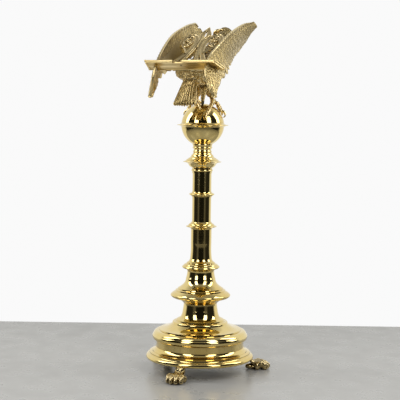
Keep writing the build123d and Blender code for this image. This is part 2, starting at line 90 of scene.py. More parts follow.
def make_floor():
    corners = [TOWARD * ahead + RIGHT * aside for ahead, aside in (
        (FLOOR_FRONT, -FLOOR_SIDE), (FLOOR_FRONT, FLOOR_SIDE),
        (-WALL_DISTANCE, FLOOR_SIDE), (-WALL_DISTANCE, -FLOOR_SIDE))]
    mesh = bpy.data.meshes.new("floor")
    mesh.from_pydata([corner[:] for corner in corners], [], [(0, 1, 2, 3)])
    mesh.materials.append(floor_concrete())
    linked("floor", mesh)


SOFTBOX_SIZE = (0.8, 2.1)
SOFTBOX_DISTANCE = 2.3
SOFTBOX_POWER = 22.0
SOFTBOX_AIM = Vector((0, 0, 1.0))
SOFTBOX_DIRECTIONS = [(-0.9, 0.44, -0.05), (-0.53, 0.38, 0.77), (0.53, 0.38, 0.77), (0.9, 0.44, -0.05)]


def make_softboxes():
    """Four softboxes, one at each side and two either side of the camera; (right, up, toward)."""
    for number, (right, up, toward) in enumerate(SOFTBOX_DIRECTIONS):
        light = bpy.data.lights.new(f"softbox_{number}", "AREA")
        light.shape = "RECTANGLE"
        light.size, light.size_y = SOFTBOX_SIZE
        light.energy = SOFTBOX_POWER
        lamp = linked(light.name, light)
        direction = (RIGHT * right + UP * up + TOWARD * toward).normalized()
        lamp.matrix_world = (Matrix.Translation(SOFTBOX_AIM + direction * SOFTBOX_DISTANCE)
                             @ direction.to_track_quat("Z", "Y").to_matrix().to_4x4())
        lamp.visible_camera = False


# ---- node graphs ----
def node(tree, kind, inputs=None, **settings):
    """Adds a shader node; an input is a number, a colour or another node's output."""
    made = tree.nodes.new("ShaderNode" + kind)
    for name, value in settings.items():
        setattr(made, name, value)
    for name, value in (inputs or {}).items():
        socket = made.inputs[name]
        if isinstance(value, bpy.types.NodeSocket):
            tree.links.new(value, socket)
        else:
            socket.default_value = value
    return made


def calculate(tree, operation, first, second=0.0, clamp=False):
    return node(tree, "Math", {0: first, 1: second}, operation=operation, use_clamp=clamp).outputs[0]


def blend(tree, factor, low, high):
    """A colour between low and high."""
    low, high = [colour if isinstance(colour, bpy.types.NodeSocket) else (*colour, 1)
                 for colour in (low, high)]
    mixed = node(tree, "Mix", {0: factor, 6: low, 7: high}, data_type="RGBA")
    return mixed.outputs[2]


def between(tree, value, low, high, to_low=0.0, to_high=1.0):
    """A value spread from one range to another, and held there."""
    return node(tree, "MapRange", {"Value": value, "From Min": low, "From Max": high,
                                   "To Min": to_low, "To Max": to_high}).outputs["Result"]


def noise(tree, place, scale, detail=3.0, roughness=0.5):
    return node(tree, "TexNoise", {"Vector": place, "Scale": scale, "Detail": detail,
                                   "Roughness": roughness}).outputs["Fac"]


def stretched(tree, place, scale):
    """Coordinates scaled by axis, so that a noise becomes lines or flat patches."""
    return node(tree, "Mapping", {"Vector": place, "Scale": scale}).outputs["Vector"]


def bump(tree, height, distance, strength=1.0, normal=None):
    inputs = {"Height": height, "Distance": distance, "Strength": strength}
    if normal is not None:
        inputs["Normal"] = normal
    return node(tree, "Bump", inputs).outputs["Normal"]


def new_material(name, metallic=1.0):
    """A material with one Principled shader; gives the material, its tree, its shader, its coordinates."""
    material = bpy.data.materials.new(name)
    material.use_nodes = True
    tree = material.node_tree
    shader = tree.nodes["Principled BSDF"]
    shader.inputs["Metallic"].default_value = metallic
    place = node(tree, "TexCoord").outputs["Object"]
    return material, tree, shader, place


def connect(tree, shader, **sockets):
    for name, value in sockets.items():
        tree.links.new(value, shader.inputs[name.replace("_", " ")])


# ---- the room around the object ----
ROOM_DARK = 0.009
WALL_WHITE = 0.93
CEILING = 0.34
BACKDROP = (0.955, 0.955, 0.955)         # what the camera itself sees behind the floor
WARMTH = 0.97                            # blue over red and green in the room's reflections


def make_room():
    """A white wall behind, a dark room in front with two dim windows, and a pale ceiling."""
    world = bpy.data.worlds.new("room")
    bpy.context.scene.world = world
    world.use_nodes = True
    tree = world.node_tree
    direction = node(tree, "TexCoord").outputs["Generated"]
    ahead = node(tree, "VectorMath", {0: direction, 1: TOWARD[:]}, operation="DOT_PRODUCT").outputs["Value"]
    aside = node(tree, "VectorMath", {0: direction, 1: RIGHT[:]}, operation="DOT_PRODUCT").outputs["Value"]
    height = node(tree, "SeparateXYZ", {0: direction}).outputs["Z"]
    angle = calculate(tree, "ABSOLUTE", calculate(tree, "ARCTAN2", aside, ahead))
    around = calculate(tree, "DIVIDE", angle, math.pi)      # 0 at the camera, 1 straight behind
    ramp = node(tree, "ValToRGB", {"Fac": around})
    stops = [(0.0, ROOM_DARK), (0.15, ROOM_DARK), (0.18, 0.1), (0.25, 0.09), (0.29, 0.02), (0.55, 0.02),
             (0.63, WALL_WHITE), (1.0, WALL_WHITE)]
    elements = ramp.color_ramp.elements
    while len(elements) < len(stops):
        elements.new(0.5)
    for element, (position, value) in zip(elements, stops):
        element.position = position
        element.color = (value, value, value * WARMTH, 1)
    overhead = between(tree, height, 0.66, 0.9)
    seen = blend(tree, overhead, ramp.outputs["Color"], (CEILING, CEILING, CEILING))
    to_camera = node(tree, "LightPath").outputs["Is Camera Ray"]
    colour = blend(tree, to_camera, seen, BACKDROP)
    tree.links.new(colour, tree.nodes["Background"].inputs["Color"])


def floor_concrete():
    material, tree, shader, place = new_material("floor_concrete", metallic=0.0)
    cloud = noise(tree, place, 1.3, 5.0)
    grain = noise(tree, place, 60.0, 4.0, 0.7)
    tone = calculate(tree, "ADD", between(tree, cloud, 0.3, 0.7, -0.02, 0.02),
                     between(tree, grain, 0.3, 0.7, -0.01, 0.01))
    colour = blend(tree, calculate(tree, "ADD", tone, 0.5), (0.26, 0.255, 0.24), (0.5, 0.495, 0.475))
    roughness = between(tree, noise(tree, place, 9.0, 4.0), 0.3, 0.7, 0.24, 0.36)
    connect(tree, shader, Base_Color=colour, Roughness=roughness, Normal=bump(tree, grain, 0.0004, 0.3))
    return material


# ---- materials of the object ----
BRASS = (0.8, 0.645, 0.29)
BRASS_DEEP = (0.74, 0.54, 0.17)
# dark brown of the painted shade in corners of the polished and satin brass
CORNER_SHADE_COLOUR = (0.36, 0.22, 0.06)
RUBBED = (0.9, 0.74, 0.42)              # crests
LOW_PAINTED_LIGHT = (0.86, 0.68, 0.33)            # painted light, for the parts below the given height
STAIN = (0.24, 0.16, 0.055)
BARB_LINE = (0.2, 0.13, 0.04)
# near-black brown of the painted shade in the hollows of the cast brass
HOLLOW_SHADE_COLOUR = (0.11, 0.065, 0.018)
BARB_PITCH = 0.003
BARB_SLANT = 1.1


def corner_shade(tree, distance):
    """Painted shade from ambient occlusion: 1 deep in a corner, 0 in the open."""
    shade = node(tree, "AmbientOcclusion", {"Distance": distance}, samples=4).outputs["AO"]
    return between(tree, shade, 0.35, 0.9, 1.0, 0.0)


def polished_brass():
    """Turned and buffed brass: fine lathe lines, a slight wave, hand smudges, painted shade in corners."""
    material, tree, shader, place = new_material("polished_brass")
    smudge = noise(tree, place, 7.0, 5.0, 0.6)
    lathe = noise(tree, stretched(tree, place, (6.0, 6.0, 900.0)), 1.0, 2.0)
    wave = noise(tree, stretched(tree, place, (5.0, 5.0, 22.0)), 1.0, 2.0)
    colour = blend(tree, between(tree, smudge, 0.35, 0.75), BRASS, BRASS_DEEP)
    # painted shade: darker brown in corners, from ambient occlusion
    colour = blend(tree, calculate(tree, "MULTIPLY", corner_shade(tree, 0.02), 0.6), colour, CORNER_SHADE_COLOUR)
    roughness = calculate(tree, "ADD", between(tree, smudge, 0.3, 0.75, 0.03, 0.1),
                          between(tree, lathe, 0.3, 0.7, 0.0, 0.03))
    normal = bump(tree, wave, 0.0008, 0.5)
    normal = bump(tree, lathe, 0.00004, 0.25, normal)
    connect(tree, shader, Base_Color=colour, Roughness=roughness, Normal=normal)
    return material


def chased_brass(name, colours, rough, painted_light_below=None):
    """Cast and chased brass: barbs on each feather, bright rubbed crests, painted shade in the hollows and,
    below an optional height, painted light.
    """
    material, tree, shader, place = new_material(name)
    barb = node(tree, "Attribute", attribute_name="barb").outputs["Vector"]
    parts = node(tree, "SeparateXYZ", {0: barb})
    aside = calculate(tree, "MULTIPLY", calculate(tree, "ABSOLUTE", parts.outputs["X"]), BARB_SLANT)
    slant = calculate(tree, "SUBTRACT", parts.outputs["Y"], aside)
    lines = calculate(tree, "SINE", calculate(tree, "MULTIPLY", slant, 2 * math.pi / BARB_PITCH))
    lines = calculate(tree, "MULTIPLY", lines, parts.outputs["Z"])
    sand = noise(tree, place, 420.0, 3.0)
    patch = noise(tree, place, 16.0, 4.0)
    rubbed = between(tree, node(tree, "NewGeometry").outputs["Pointiness"], 0.5, 0.56)
    colour = blend(tree, between(tree, patch, 0.35, 0.7), *colours)
    stain = between(tree, noise(tree, place, 90.0, 5.0, 0.7), 0.48, 0.66, 0.0, 0.35)
    colour = blend(tree, stain, colour, STAIN)
    colour = blend(tree, calculate(tree, "MULTIPLY", lines, -0.3, clamp=True), colour, BARB_LINE)
    # painted shade: near-black brown in hollows, from ambient occlusion
    colour = blend(tree, corner_shade(tree, 0.01), colour, HOLLOW_SHADE_COLOUR)
    colour = blend(tree, calculate(tree, "MULTIPLY", rubbed, 0.7), colour, RUBBED)
    smooth, dull = rough
    roughness = calculate(tree, "SUBTRACT", between(tree, patch, 0.3, 0.7, smooth, dull),
                          calculate(tree, "MULTIPLY", rubbed, 0.1))
    # painted light: below the given height the colour is lifted towards a lighter brass and made glossier
    if painted_light_below is not None:
        height = node(tree, "SeparateXYZ", {0: place}).outputs["Z"]
        shine = between(tree, height, painted_light_below + 0.03, painted_light_below - 0.03)
        colour = blend(tree, calculate(tree, "MULTIPLY", shine, 0.65), colour, LOW_PAINTED_LIGHT)
        roughness = calculate(tree, "SUBTRACT", roughness, calculate(tree, "MULTIPLY", shine, 0.15))
    normal = bump(tree, sand, 0.0003, 0.3)
    normal = bump(tree, lines, 0.0004, 0.8, normal)
    connect(tree, shader, Base_Color=colour, Roughness=roughness, Normal=normal)
    return material


def satin_brass():
    """Filed and scratch-brushed brass of the ledge."""
    material, tree, shader, place = new_material("satin_brass")
    brushed = noise(tree, stretched(tree, place, (14.0, 500.0, 500.0)), 1.0, 3.0)
    patch = noise(tree, place, 11.0, 4.0)
    colour = blend(tree, between(tree, patch, 0.3, 0.7), (0.84, 0.67, 0.33), (0.74, 0.56, 0.24))
    # painted shade: darker brown in corners, from ambient occlusion
    colour = blend(tree, calculate(tree, "MULTIPLY", corner_shade(tree, 0.015), 0.7), colour, CORNER_SHADE_COLOUR)
    roughness = calculate(tree, "ADD", between(tree, patch, 0.3, 0.7, 0.26, 0.36),
                          between(tree, brushed, 0.3, 0.7, 0.0, 0.08))
    connect(tree, shader, Base_Color=colour, Roughness=roughness, Normal=bump(tree, brushed, 0.00008, 0.4))
    return material


def plain_metal(name, bright, dull, roughness, grain):
    """Steel, bronze or iron: a two-tone mottle with a fine grain."""
    material, tree, shader, place = new_material(name)
    mottle = noise(tree, place, 30.0, 5.0, 0.6)
    fine = noise(tree, place, grain, 3.0)
    colour = blend(tree, between(tree, mottle, 0.35, 0.7), bright, dull)
    low, high = roughness
    connect(tree, shader, Base_Color=colour, Roughness=between(tree, mottle, 0.3, 0.7, low, high),
            Normal=bump(tree, fine, 0.0003, 0.5))
    return material


# ---- mesh helpers ----
class Shape:
    """Collects vertices, faces and the barb coordinates of a piece: (across, along, strength)."""

    def __init__(self):
        self.points = []
        self.faces = []
        self.barbs = []

    def add(self, points, faces, barbs=None):
        first = len(self.points)
        self.points += [tuple(point) for point in points]
        self.faces += [tuple(first + corner for corner in face) for face in faces]
        self.barbs += barbs or [(0.0, 0.0, 0.0)] * len(points)

    def mirrored(self):
        """The same shape on the other side of the object's middle plane."""
        other = Shape()
        other.points = [(-x, y, z) for x, y, z in self.points]
        other.faces = [face[::-1] for face in self.faces]
        other.barbs = list(self.barbs)
        return other

    def mesh(self, name, material, sharp=40.0):
        mesh = bpy.data.meshes.new(name)
        mesh.from_pydata(self.points, [], self.faces)
        mesh.validate()
        barb = mesh.attributes.new("barb", "FLOAT_VECTOR", "POINT")
        barb.data.foreach_set("vector", [value for triple in self.barbs for value in triple])
        mesh.shade_smooth()
        mesh.set_sharp_from_angle(angle=math.radians(sharp))
        mesh.materials.append(material)
        return mesh

    def piece(self, name, node_name, material, slot="cast_brass", sharp=40.0):
        """Makes a piece of the eagle and puts it in its CAD node's place."""
        return place_piece(name, self.mesh(name, material, sharp), node_name)


def place_piece(name, mesh, node_name, body="eagle"):
    made = linked(name, mesh)
    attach(made, body)
    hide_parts(node_name)
    return made


def place_detail(name, mesh, parent):
    """A small part that belongs to a piece and moves with it."""
    made = linked(name, mesh)
    made.parent = parent


CURVE_SAMPLES = 24            # between two given points


def smooth_curve(points):
    """A function from 0..1 to points on a smooth curve through the given ones."""
    points = np.array(points, dtype=float)
    ends = np.vstack([2 * points[0] - points[1], points, 2 * points[-1] - points[-2]])
    dense = []
    for i in range(1, len(ends) - 2):        # a Catmull-Rom span from each point to the next
        before, start, end, after = ends[i - 1:i + 3]
        for step in range(CURVE_SAMPLES):
            t = step / CURVE_SAMPLES
            dense.append(0.5 * (2 * start + (end - before) * t
                                + (2 * before - 5 * start + 4 * end - after) * t ** 2
                                + (3 * start - before - 3 * end + after) * t ** 3))
    dense.append(points[-1])
    dense = np.array(dense)
    place = np.linspace(0, 1, len(dense))

    def at(t):
        t = np.clip(t, 0, 1)
        return np.stack([np.interp(t, place, dense[:, axis]) for axis in range(dense.shape[1])], axis=-1)
    return at


def floats(*values):
    return [np.asarray(value, dtype=float) for value in values]


NUDGE = 2e-3                  # a small step along a curve, to find its direction


def unit(vectors):
    return vectors / np.maximum(np.linalg.norm(vectors, axis=-1, keepdims=True), 1e-12)


def grid_faces(rows, columns, closed=False, flip=False):
    """Quads of a grid whose vertices run row by row; closed joins the last column to the first."""
    faces = []
    for row in range(rows - 1):
        for column in range(columns if closed else columns - 1):
            right = (column + 1) % columns
            face = (row * columns + column, row * columns + right,
                    (row + 1) * columns + right, (row + 1) * columns + column)
            faces.append(face[::-1] if flip else face)
    return faces


def tube_faces(rings, around, flip=False):
    """Faces of a tube whose vertices run ring by ring, with a cap at each end."""
    faces = grid_faces(rings, around, closed=True)
    faces.append(tuple(range(around))[::-1])
    faces.append(tuple((rings - 1) * around + i for i in range(around)))
    return [face[::-1] for face in faces] if flip else faces


def swept(shape, spine, radius, steps, around=16, up=(0, 0, 1), aspect=1.0, lump=None):
    """A closed tube along a curve. radius(t) is a number; aspect is width over height."""
    ts = np.linspace(0, 1, steps)
    middle = spine(ts)
    along = unit(spine(ts + NUDGE / 2) - spine(ts - NUDGE / 2))
    side = unit(np.cross(along, np.array(up, dtype=float)))
    lift = np.cross(side, along)
    angles = np.linspace(0, 2 * math.pi, around, endpoint=False)
    points = []
    for i, t in enumerate(ts):
        r = radius(t)
        wide = r * aspect
        for angle in angles:
            grow = 1.0 if lump is None else lump(t, angle)
            offset = wide * math.cos(angle) * side[i] + r * math.sin(angle) * lift[i]
            points.append(middle[i] + grow * offset)
    shape.add(points, tube_faces(steps, around, flip=True))


# ---- feathers ----
FEATHER_ACROSS = (-1.0, -0.8, -0.45, -0.1, 0.0, 0.1, 0.45, 0.8, 1.0)
FEATHER_DOME = 0.55           # how far a feather's sides fall below its middle
QUILL_RISE = 0.0005


def feather_outline(f, blunt):
    """Half-width, 0..1, at a fraction of the feather's length: narrow root, full middle, round tip."""
    root = 0.62 + 0.38 * min(1.0, f / 0.35)
    start = 1.0 - blunt
    if f <= start:
        return root
    return root * math.sqrt(max(0.0, 1 - ((f - start) / blunt) ** 2))


def add_feather(shape, patch, start, end, width, low=0.0004, high=0.0022, depth=0.002, blunt=0.45,
                steps=7, crown=0.0):
    """One feather on a patch from start to end, both (s, t): a closed, domed, slightly lifted blade."""
    fractions = [1 - (1 - i / (steps - 1)) ** 1.5 for i in range(steps)]
    s = np.array([start[0] + (end[0] - start[0]) * f for f in fractions])
    t = np.array([start[1] + (end[1] - start[1]) * f for f in fractions])
    centre, normal = patch(s, t)
    along = unit(np.gradient(centre, axis=0))
    across = unit(np.cross(along, normal))
    length = np.linalg.norm(centre[-1] - centre[0])
    top, bottom, marks = [], [], []
    for i, f in enumerate(fractions[:-1]):
        half = width / 2 * feather_outline(f, blunt)
        rise = low + (high - low) * f
        for v in FEATHER_ACROSS:
            dome = rise * (1 - FEATHER_DOME * v * v) + crown * (1 - v * v) + (QUILL_RISE if v == 0 else 0.0)
            foot = centre[i] + across[i] * half * v
            top.append(foot + normal[i] * dome)
            bottom.append(foot - normal[i] * depth)
            marks.append((half * v, f * length, 1.0))
    tip = centre[-1] + normal[-1] * high * 0.6
    columns, rows = len(FEATHER_ACROSS), steps - 1
    count = rows * columns
    faces = grid_faces(rows, columns, flip=True)
    faces += [tuple(count + corner for corner in face) for face in grid_faces(rows, columns)]
    last = (rows - 1) * columns
    tip_top, tip_bottom = 2 * count, 2 * count + 1
    for column in range(columns - 1):
        faces.append((last + column + 1, last + column, tip_top))
        faces.append((count + last + column, count + last + column + 1, tip_bottom))
        faces.append((column, column + 1, count + column + 1, count + column))
    for row in range(rows - 1):
        left, next_left = row * columns, (row + 1) * columns
        faces.append((left, count + left, count + next_left, next_left))
        right, next_right = left + columns - 1, next_left + columns - 1
        faces.append((next_right, count + next_right, count + right, right))
    faces.append((last, count + last, tip_bottom, tip_top))
    faces.append((tip_top, tip_bottom, count + last + columns - 1, last + columns - 1))
    under = centre[-1] - normal[-1] * depth
    shape.add(top + bottom + [tip, under], faces,
              marks + [(x, y, 0.0) for x, y, _ in marks] + [(0.0, float(length), 1.0), (0.0, 0.0, 0.0)])


# ---- wings ----
# Right wing, from the rear feather tips to the raised wrist: points on the smooth rim and on the
# feathered lower edge, each (x, y, z). Fitted to the photograph, up to 30 mm off the CAD wing at the tip.
RIM = [(0.144, -0.262, 1.272), (0.128, -0.29, 1.325), (0.119, -0.296, 1.385), (0.119, -0.247, 1.449),
       (0.131, -0.144, 1.513), (0.139, -0.029, 1.569), (0.141, 0.131, 1.619), (0.149, 0.232, 1.636),
       (0.147, 0.27, 1.64), (0.142, 0.3, 1.625)]
EDGE = [(0.145, -0.256, 1.268), (0.15, -0.208, 1.325), (0.15, -0.124, 1.388), (0.129, 0.0, 1.427),
        (0.109, 0.098, 1.46), (0.094, 0.224, 1.503), (0.102, 0.286, 1.545), (0.118, 0.305, 1.584),
        (0.129, 0.308, 1.6), (0.139, 0.305, 1.614)]
WING_BOW = 0.012              # how far the blade bulges outwards between rim and edge
RIM_RADIUS = 0.0065
RIM_SWELL = 0.003             # how much thicker than the blade the rim is, each side
RIM_SWELL_WIDTH = 0.07        # of the chord
BLADE_HALF = 0.0022
EDGE_HALF = 0.0008
FIRST_S = 0.004               # just inside the wing's lower tip
rim_curve = smooth_curve(RIM)
edge_curve = smooth_curve(EDGE)


def wing_middle(s, t):
    rim, edge = rim_curve(s), edge_curve(s)
    t = np.asarray(t)[..., None]
    bow = WING_BOW * np.sin(math.pi * np.clip(t, 0, 1)) * np.array([1.0, 0.0, 0.0])
    return rim + (edge - rim) * t + bow


def wing_normal(s, t):
    """Outward normal of the wing's middle surface."""
    along = wing_middle(s + NUDGE, t) - wing_middle(s - NUDGE, t)
    across = wing_middle(s, t + NUDGE) - wing_middle(s, t - NUDGE)
    normal = unit(np.cross(along, across))
    return normal * np.where(normal[..., :1] < 0, -1.0, 1.0)


def wing_half_thickness(t):
    """Thick round rim, then a thin blade that tapers to the feather edge."""
    return BLADE_HALF * (1.15 - 0.6 * t) + RIM_SWELL * np.exp(-(t / RIM_SWELL_WIDTH) ** 2)


def wing_face(side):
    """A patch on the outer (side 1) or inner (side -1) face of the wing."""
    def patch(s, t):
        s, t = floats(s, t)
        normal = wing_normal(s, t) * side
        return wing_middle(s, t) + normal * wing_half_thickness(t)[..., None], normal
    return patch


def wing_chord(s):
    return float(np.linalg.norm(edge_curve(s) - rim_curve(s)))


def wing_blade(shape):
    """The blade itself: a closed shell from the rim round to the feather edge."""
    spans, columns = 90, 22
    across = [0.5 - 0.5 * math.cos(math.pi * i / (columns - 1)) for i in range(columns)]
    loop = [(t, 1) for t in across] + [(t, -1) for t in across[-2:0:-1]]
    points = []
    for s in np.linspace(FIRST_S, 1 - FIRST_S, spans):
        end = min(1.0, min(s, 1 - s) / 0.03) ** 0.5
        for t, side in loop:
            round_off = math.sqrt(max(0.0, 1 - (1 - min(1.0, t * wing_chord(s) / RIM_RADIUS)) ** 2))
            half = wing_half_thickness(np.array(t)) * (round_off if t > 0 else 0.0) * end
            if t >= 0.999:
                half = EDGE_HALF
            points.append(wing_middle(s, t) + wing_normal(s, t) * half * side)
    shape.add(points, tube_faces(spans, len(loop)))


WING_LENGTH = 0.76            # roughly, along the rim
WING_DEPTH = 0.26             # how far from the rim the outer rows of feathers go
BOLD_BELOW = 0.36             # the feathers below this place stand out more
LENGTH_SPREAD = 0.22
FLIGHT_FEATHERS = 27          # along the edge, on each face
FLIGHT_LENGTH = 0.085
FLIGHT_WIDTH = 0.03


def lean(s):
    """How far a feather's tip swings towards the wing's lower tip, for one unit across."""
    return 0.35 + 2.6 * max(0.0, 1 - s / 0.45) ** 1.5


def feather_row(shape, patch, distance, length, pitch, width, phase, jitter, high, blunt=0.45,
                last_s=0.975, last_t=1.0):
    """Feathers whose roots stand at one distance from the rim, along the wing as far as last_s."""
    count = int(WING_LENGTH / pitch)
    for i in range(count):
        s = (i + phase) / count
        chord = wing_chord(s)
        if not 0.012 < s < last_s or distance > chord - 0.35 * length or distance / chord >= last_t:
            continue
        reach = length * (1 + jitter.uniform(-LENGTH_SPREAD, LENGTH_SPREAD))
        slope = lean(s)
        across = reach / math.sqrt(1 + slope ** 2)
        tip_t = min((distance + across) / chord, 1.0)
        tip_s = max(FIRST_S, s - across * slope / WING_LENGTH)
        bold = 1 + 1.1 * max(0.0, 1 - s / BOLD_BELOW)
        add_feather(shape, patch, (s, distance / chord), (tip_s, tip_t), width * min(bold, 1.12),
                    high=high * bold, blunt=blunt, crown=0.0012 * (bold - 1))


def edge_feathers(shape, patch, jitter):
    """The long flight feathers, whose tips make the notched edge."""
    for i in range(FLIGHT_FEATHERS):
        s = 0.015 + 0.945 * (i + 0.5) / FLIGHT_FEATHERS
        chord = wing_chord(s)
        reach = min(FLIGHT_LENGTH, chord * 0.75)
        slope = 0.8 * lean(s)
        across = reach / math.sqrt(1 + slope ** 2)
        tip_s = max(FIRST_S, s - across * slope / WING_LENGTH)
        over = 1.0 + 0.005 / max(chord, 0.03) * jitter.uniform(-0.8, 1.0)
        width = FLIGHT_WIDTH * min(1.0, max(0.4, chord / 0.14))
        add_feather(shape, patch, (s, max(0.05, 1 - across / chord)), (tip_s, over), width,
                    low=-0.0014, high=0.0014, depth=0.0035, blunt=0.3, steps=9)


def wing():
    """The right wing: blade, flight feathers, small coverts all over outside, and by the rim inside."""
    shape = Shape()
    jitter = random.Random(5)
    wing_blade(shape)
    outer, inner = wing_face(1), wing_face(-1)
    edge_feathers(shape, outer, jitter)
    edge_feathers(shape, inner, jitter)
    distance, row = 0.004, 0
    while distance < WING_DEPTH:
        visible = 0.0125 + 0.03 * distance / WING_DEPTH
        feather_row(shape, outer, distance, visible * 2.0, visible * 1.02 + 0.003, visible * 1.2 + 0.003,
                    0.37 * row % 1, jitter, high=0.0027, last_t=0.93)
        distance += visible
        row += 1
    for row, distance in enumerate((0.008, 0.026, 0.046)):
        feather_row(shape, inner, distance, 0.04, 0.017, 0.0195, 0.5 * (row % 2), jitter,
                    high=0.0024, blunt=0.5, last_s=0.93)
    for row, distance in enumerate((0.06, 0.085, 0.11, 0.14)):
        feather_row(shape, inner, distance, 0.06, 0.026, 0.026, 0.5 * (row % 2), jitter,
                    high=0.0026, blunt=0.4, last_s=BOLD_BELOW)
    return shape


def make_wings():
    """Both wings; the left one mirrors the right."""
    right = wing()
    right.piece("wing_right_feathered", "wing_right", CHASED_PAINTED_SHADE)
    right.mirrored().piece("wing_left_feathered", "wing_left", CHASED_PAINTED_SHADE)


# ---- the eagle's body ----
def tube_patch(spine, radius, aspect=1.0, up=(0, 0, 1)):
    """The surface of a swept tube: s along the spine, t once round it."""
    def patch(s, t):
        s, t = floats(s, t)
        along = unit(spine(s + NUDGE) - spine(s - NUDGE))
        side = unit(np.cross(along, np.array(up, dtype=float)))
        lift = np.cross(side, along)
        r = radius(s)[..., None]
        angle = 2 * math.pi * t[..., None]
        outward = unit(np.cos(angle) * side + aspect * np.sin(angle) * lift)
        return spine(s) + r * (aspect * np.cos(angle) * side + np.sin(angle) * lift), outward
    return patch


def graded(*values):
    """A smooth function of 0..1 through evenly spaced values."""
    curve = smooth_curve([(value,) for value in values])
    return lambda s: curve(s)[..., 0]


def feathered_tube(shape, spine, radius, length, visible, width, start, stop, high, steps, jitter,
                   aspect=1.0, up=(0, 0, 1)):
    """A tube covered in rows of feathers whose tips point back along the spine, from start to stop."""
    patch = tube_patch(spine, radius, aspect, up)
    swept(shape, spine, lambda t: float(radius(t)), steps, around=28, up=up, aspect=aspect)
    span = float(np.linalg.norm(np.diff(spine(np.linspace(0, 1, 60)), axis=0), axis=1).sum())
    s, row = start, 0
    while s > stop:
        size = 0.55 + 0.45 * min(1.0, float(radius(s)) / 0.05)      # smaller feathers on a thin tube
        around = 2 * math.pi * float(radius(s)) * (1 + aspect) / 2
        count = max(5, round(around / (width * size * 0.82)))
        for i in range(count):
            t = (i + 0.5 * (row % 2)) / count + jitter.uniform(-0.006, 0.006)
            tip = s - length * size / span * (1 + jitter.uniform(-0.1, 0.1))
            add_feather(shape, patch, (s, t), (max(tip, -0.01), t), width * size, low=-0.0008,
                        high=high * size, depth=0.004, blunt=0.75)
        s -= visible * size / span
        row += 1


BODY_SPINE = smooth_curve([
    (0, -0.2, 1.404), (0, -0.156, 1.38), (0, -0.088, 1.387), (0, -0.02, 1.4), (0, 0.05, 1.424),
    (0, 0.11, 1.45), (0, 0.16, 1.486), (0, 0.205, 1.524), (0, 0.245, 1.558), (0, 0.28, 1.584)])
BODY_RADIUS = graded(0.004, 0.043, 0.057, 0.064, 0.066, 0.061, 0.052, 0.042, 0.032, 0.026)


def make_body():
    """Rump, back, breast and neck under one coat of pointed feathers."""
    shape = Shape()
    jitter = random.Random(11)
    feathered_tube(shape, BODY_SPINE, BODY_RADIUS, 0.044, 0.023, 0.027, start=0.985, stop=0.02,
                   high=0.0048, steps=60, jitter=jitter, aspect=1.12)
    for side in (-1, 1):
        flank = smooth_curve([(side * 0.04, -0.203, 1.408), (side * 0.04, -0.17, 1.386),
                              (side * 0.034, -0.12, 1.386), (side * 0.026, -0.07, 1.392)])
        feathered_tube(shape, flank, graded(0.003, 0.027, 0.034, 0.036), 0.04, 0.02, 0.024,
                       start=0.9, stop=0.03, high=0.005, steps=26, jitter=jitter)
    shape.piece("eagle_body_feathered", "eagle_body", CHASED_PAINTED_SHADE)


# ---- blended lumps ----
def blended(name, build, voxel, smoothing, material):
    """One skin over a set of overlapping closed lumps, softened where they meet."""
    shape = Shape()
    build(shape)
    scratch = linked(name, shape.mesh(name, material))
    remesh = scratch.modifiers.new("skin", "REMESH")
    remesh.mode = "VOXEL"
    remesh.voxel_size = voxel
    remesh.use_smooth_shade = True
    soften = scratch.modifiers.new("soften", "SMOOTH")
    soften.factor = 0.5
    soften.iterations = smoothing
    evaluated = scratch.evaluated_get(bpy.context.evaluated_depsgraph_get())
    skin = bpy.data.meshes.new_from_object(evaluated)
    skin.name = name
    bpy.data.objects.remove(scratch)
    return skin


def lump(shape, centre, size, turn=(0, 0, 0), rows=12, around=16):
    """A closed ellipsoid; turn is in degrees about x, y, z."""
    spin = (Matrix.Rotation(math.radians(turn[2]), 3, "Z") @ Matrix.Rotation(math.radians(turn[1]), 3, "Y")
            @ Matrix.Rotation(math.radians(turn[0]), 3, "X"))
    points = []
    for row in range(1, rows):
        polar = math.pi * row / rows
        for i in range(around):
            angle = 2 * math.pi * i / around
            local = Vector((size[0] * math.sin(polar) * math.cos(angle),
                            size[1] * math.sin(polar) * math.sin(angle), size[2] * math.cos(polar)))
            points.append(Vector(centre) + spin @ local)
    faces = grid_faces(rows - 1, around, closed=True, flip=True)
    top, bottom = len(points), len(points) + 1
    pole = spin @ Vector((0, 0, size[2]))
    points += [Vector(centre) + pole, Vector(centre) - pole]
    last = (rows - 2) * around
    for i in range(around):
        j = (i + 1) % around
        faces.append((top, i, j))
        faces.append((last + j, last + i, bottom))
    shape.add(points, faces)


def horn(shape, points, radii, steps=14, around=12, up=(0, 0, 1), aspect=1.0):
    """A closed tapered tube through points: a claw, a beak or a finger joint."""
    radius = graded(*radii)
    swept(shape, smooth_curve(points), lambda t: float(radius(t)), steps, around, up, aspect)


HEAD = Vector((-0.004, 0.286, 1.593))      # middle of the skull; the head looks to its own left, -X


def head_lumps(shape):
    """Flat-crowned skull, heavy brows, cheeks and a strong hooked beak."""
    x, y, z = HEAD
    lump(shape, (x + 0.002, y, z), (0.031, 0.024, 0.0245))
    lump(shape, (x + 0.012, y - 0.004, z - 0.012), (0.024, 0.024, 0.022))
    lump(shape, (x - 0.017, y, z + 0.003), (0.02, 0.018, 0.018))
    for side in (-1, 1):
        horn(shape, [(x + 0.008, y + side * 0.019, z + 0.014), (x - 0.01, y + side * 0.02, z + 0.0125),
                     (x - 0.028, y + side * 0.013, z + 0.008)], (0.0035, 0.0048, 0.003))
        lump(shape, (x - 0.008, y + side * 0.017, z - 0.006), (0.012, 0.006, 0.009))
    horn(shape, [(x - 0.02, y, z + 0.005), (x - 0.036, y, z + 0.0075), (x - 0.049, y, z + 0.001),
                 (x - 0.0545, y, z - 0.01), (x - 0.0525, y, z - 0.02)],
         (0.0135, 0.0118, 0.0085, 0.0048, 0.0012), steps=24, aspect=0.8)
    horn(shape, [(x - 0.018, y, z - 0.008), (x - 0.034, y, z - 0.0095), (x - 0.045, y, z - 0.0105)],
         (0.0095, 0.007, 0.0022), steps=14, aspect=0.9)


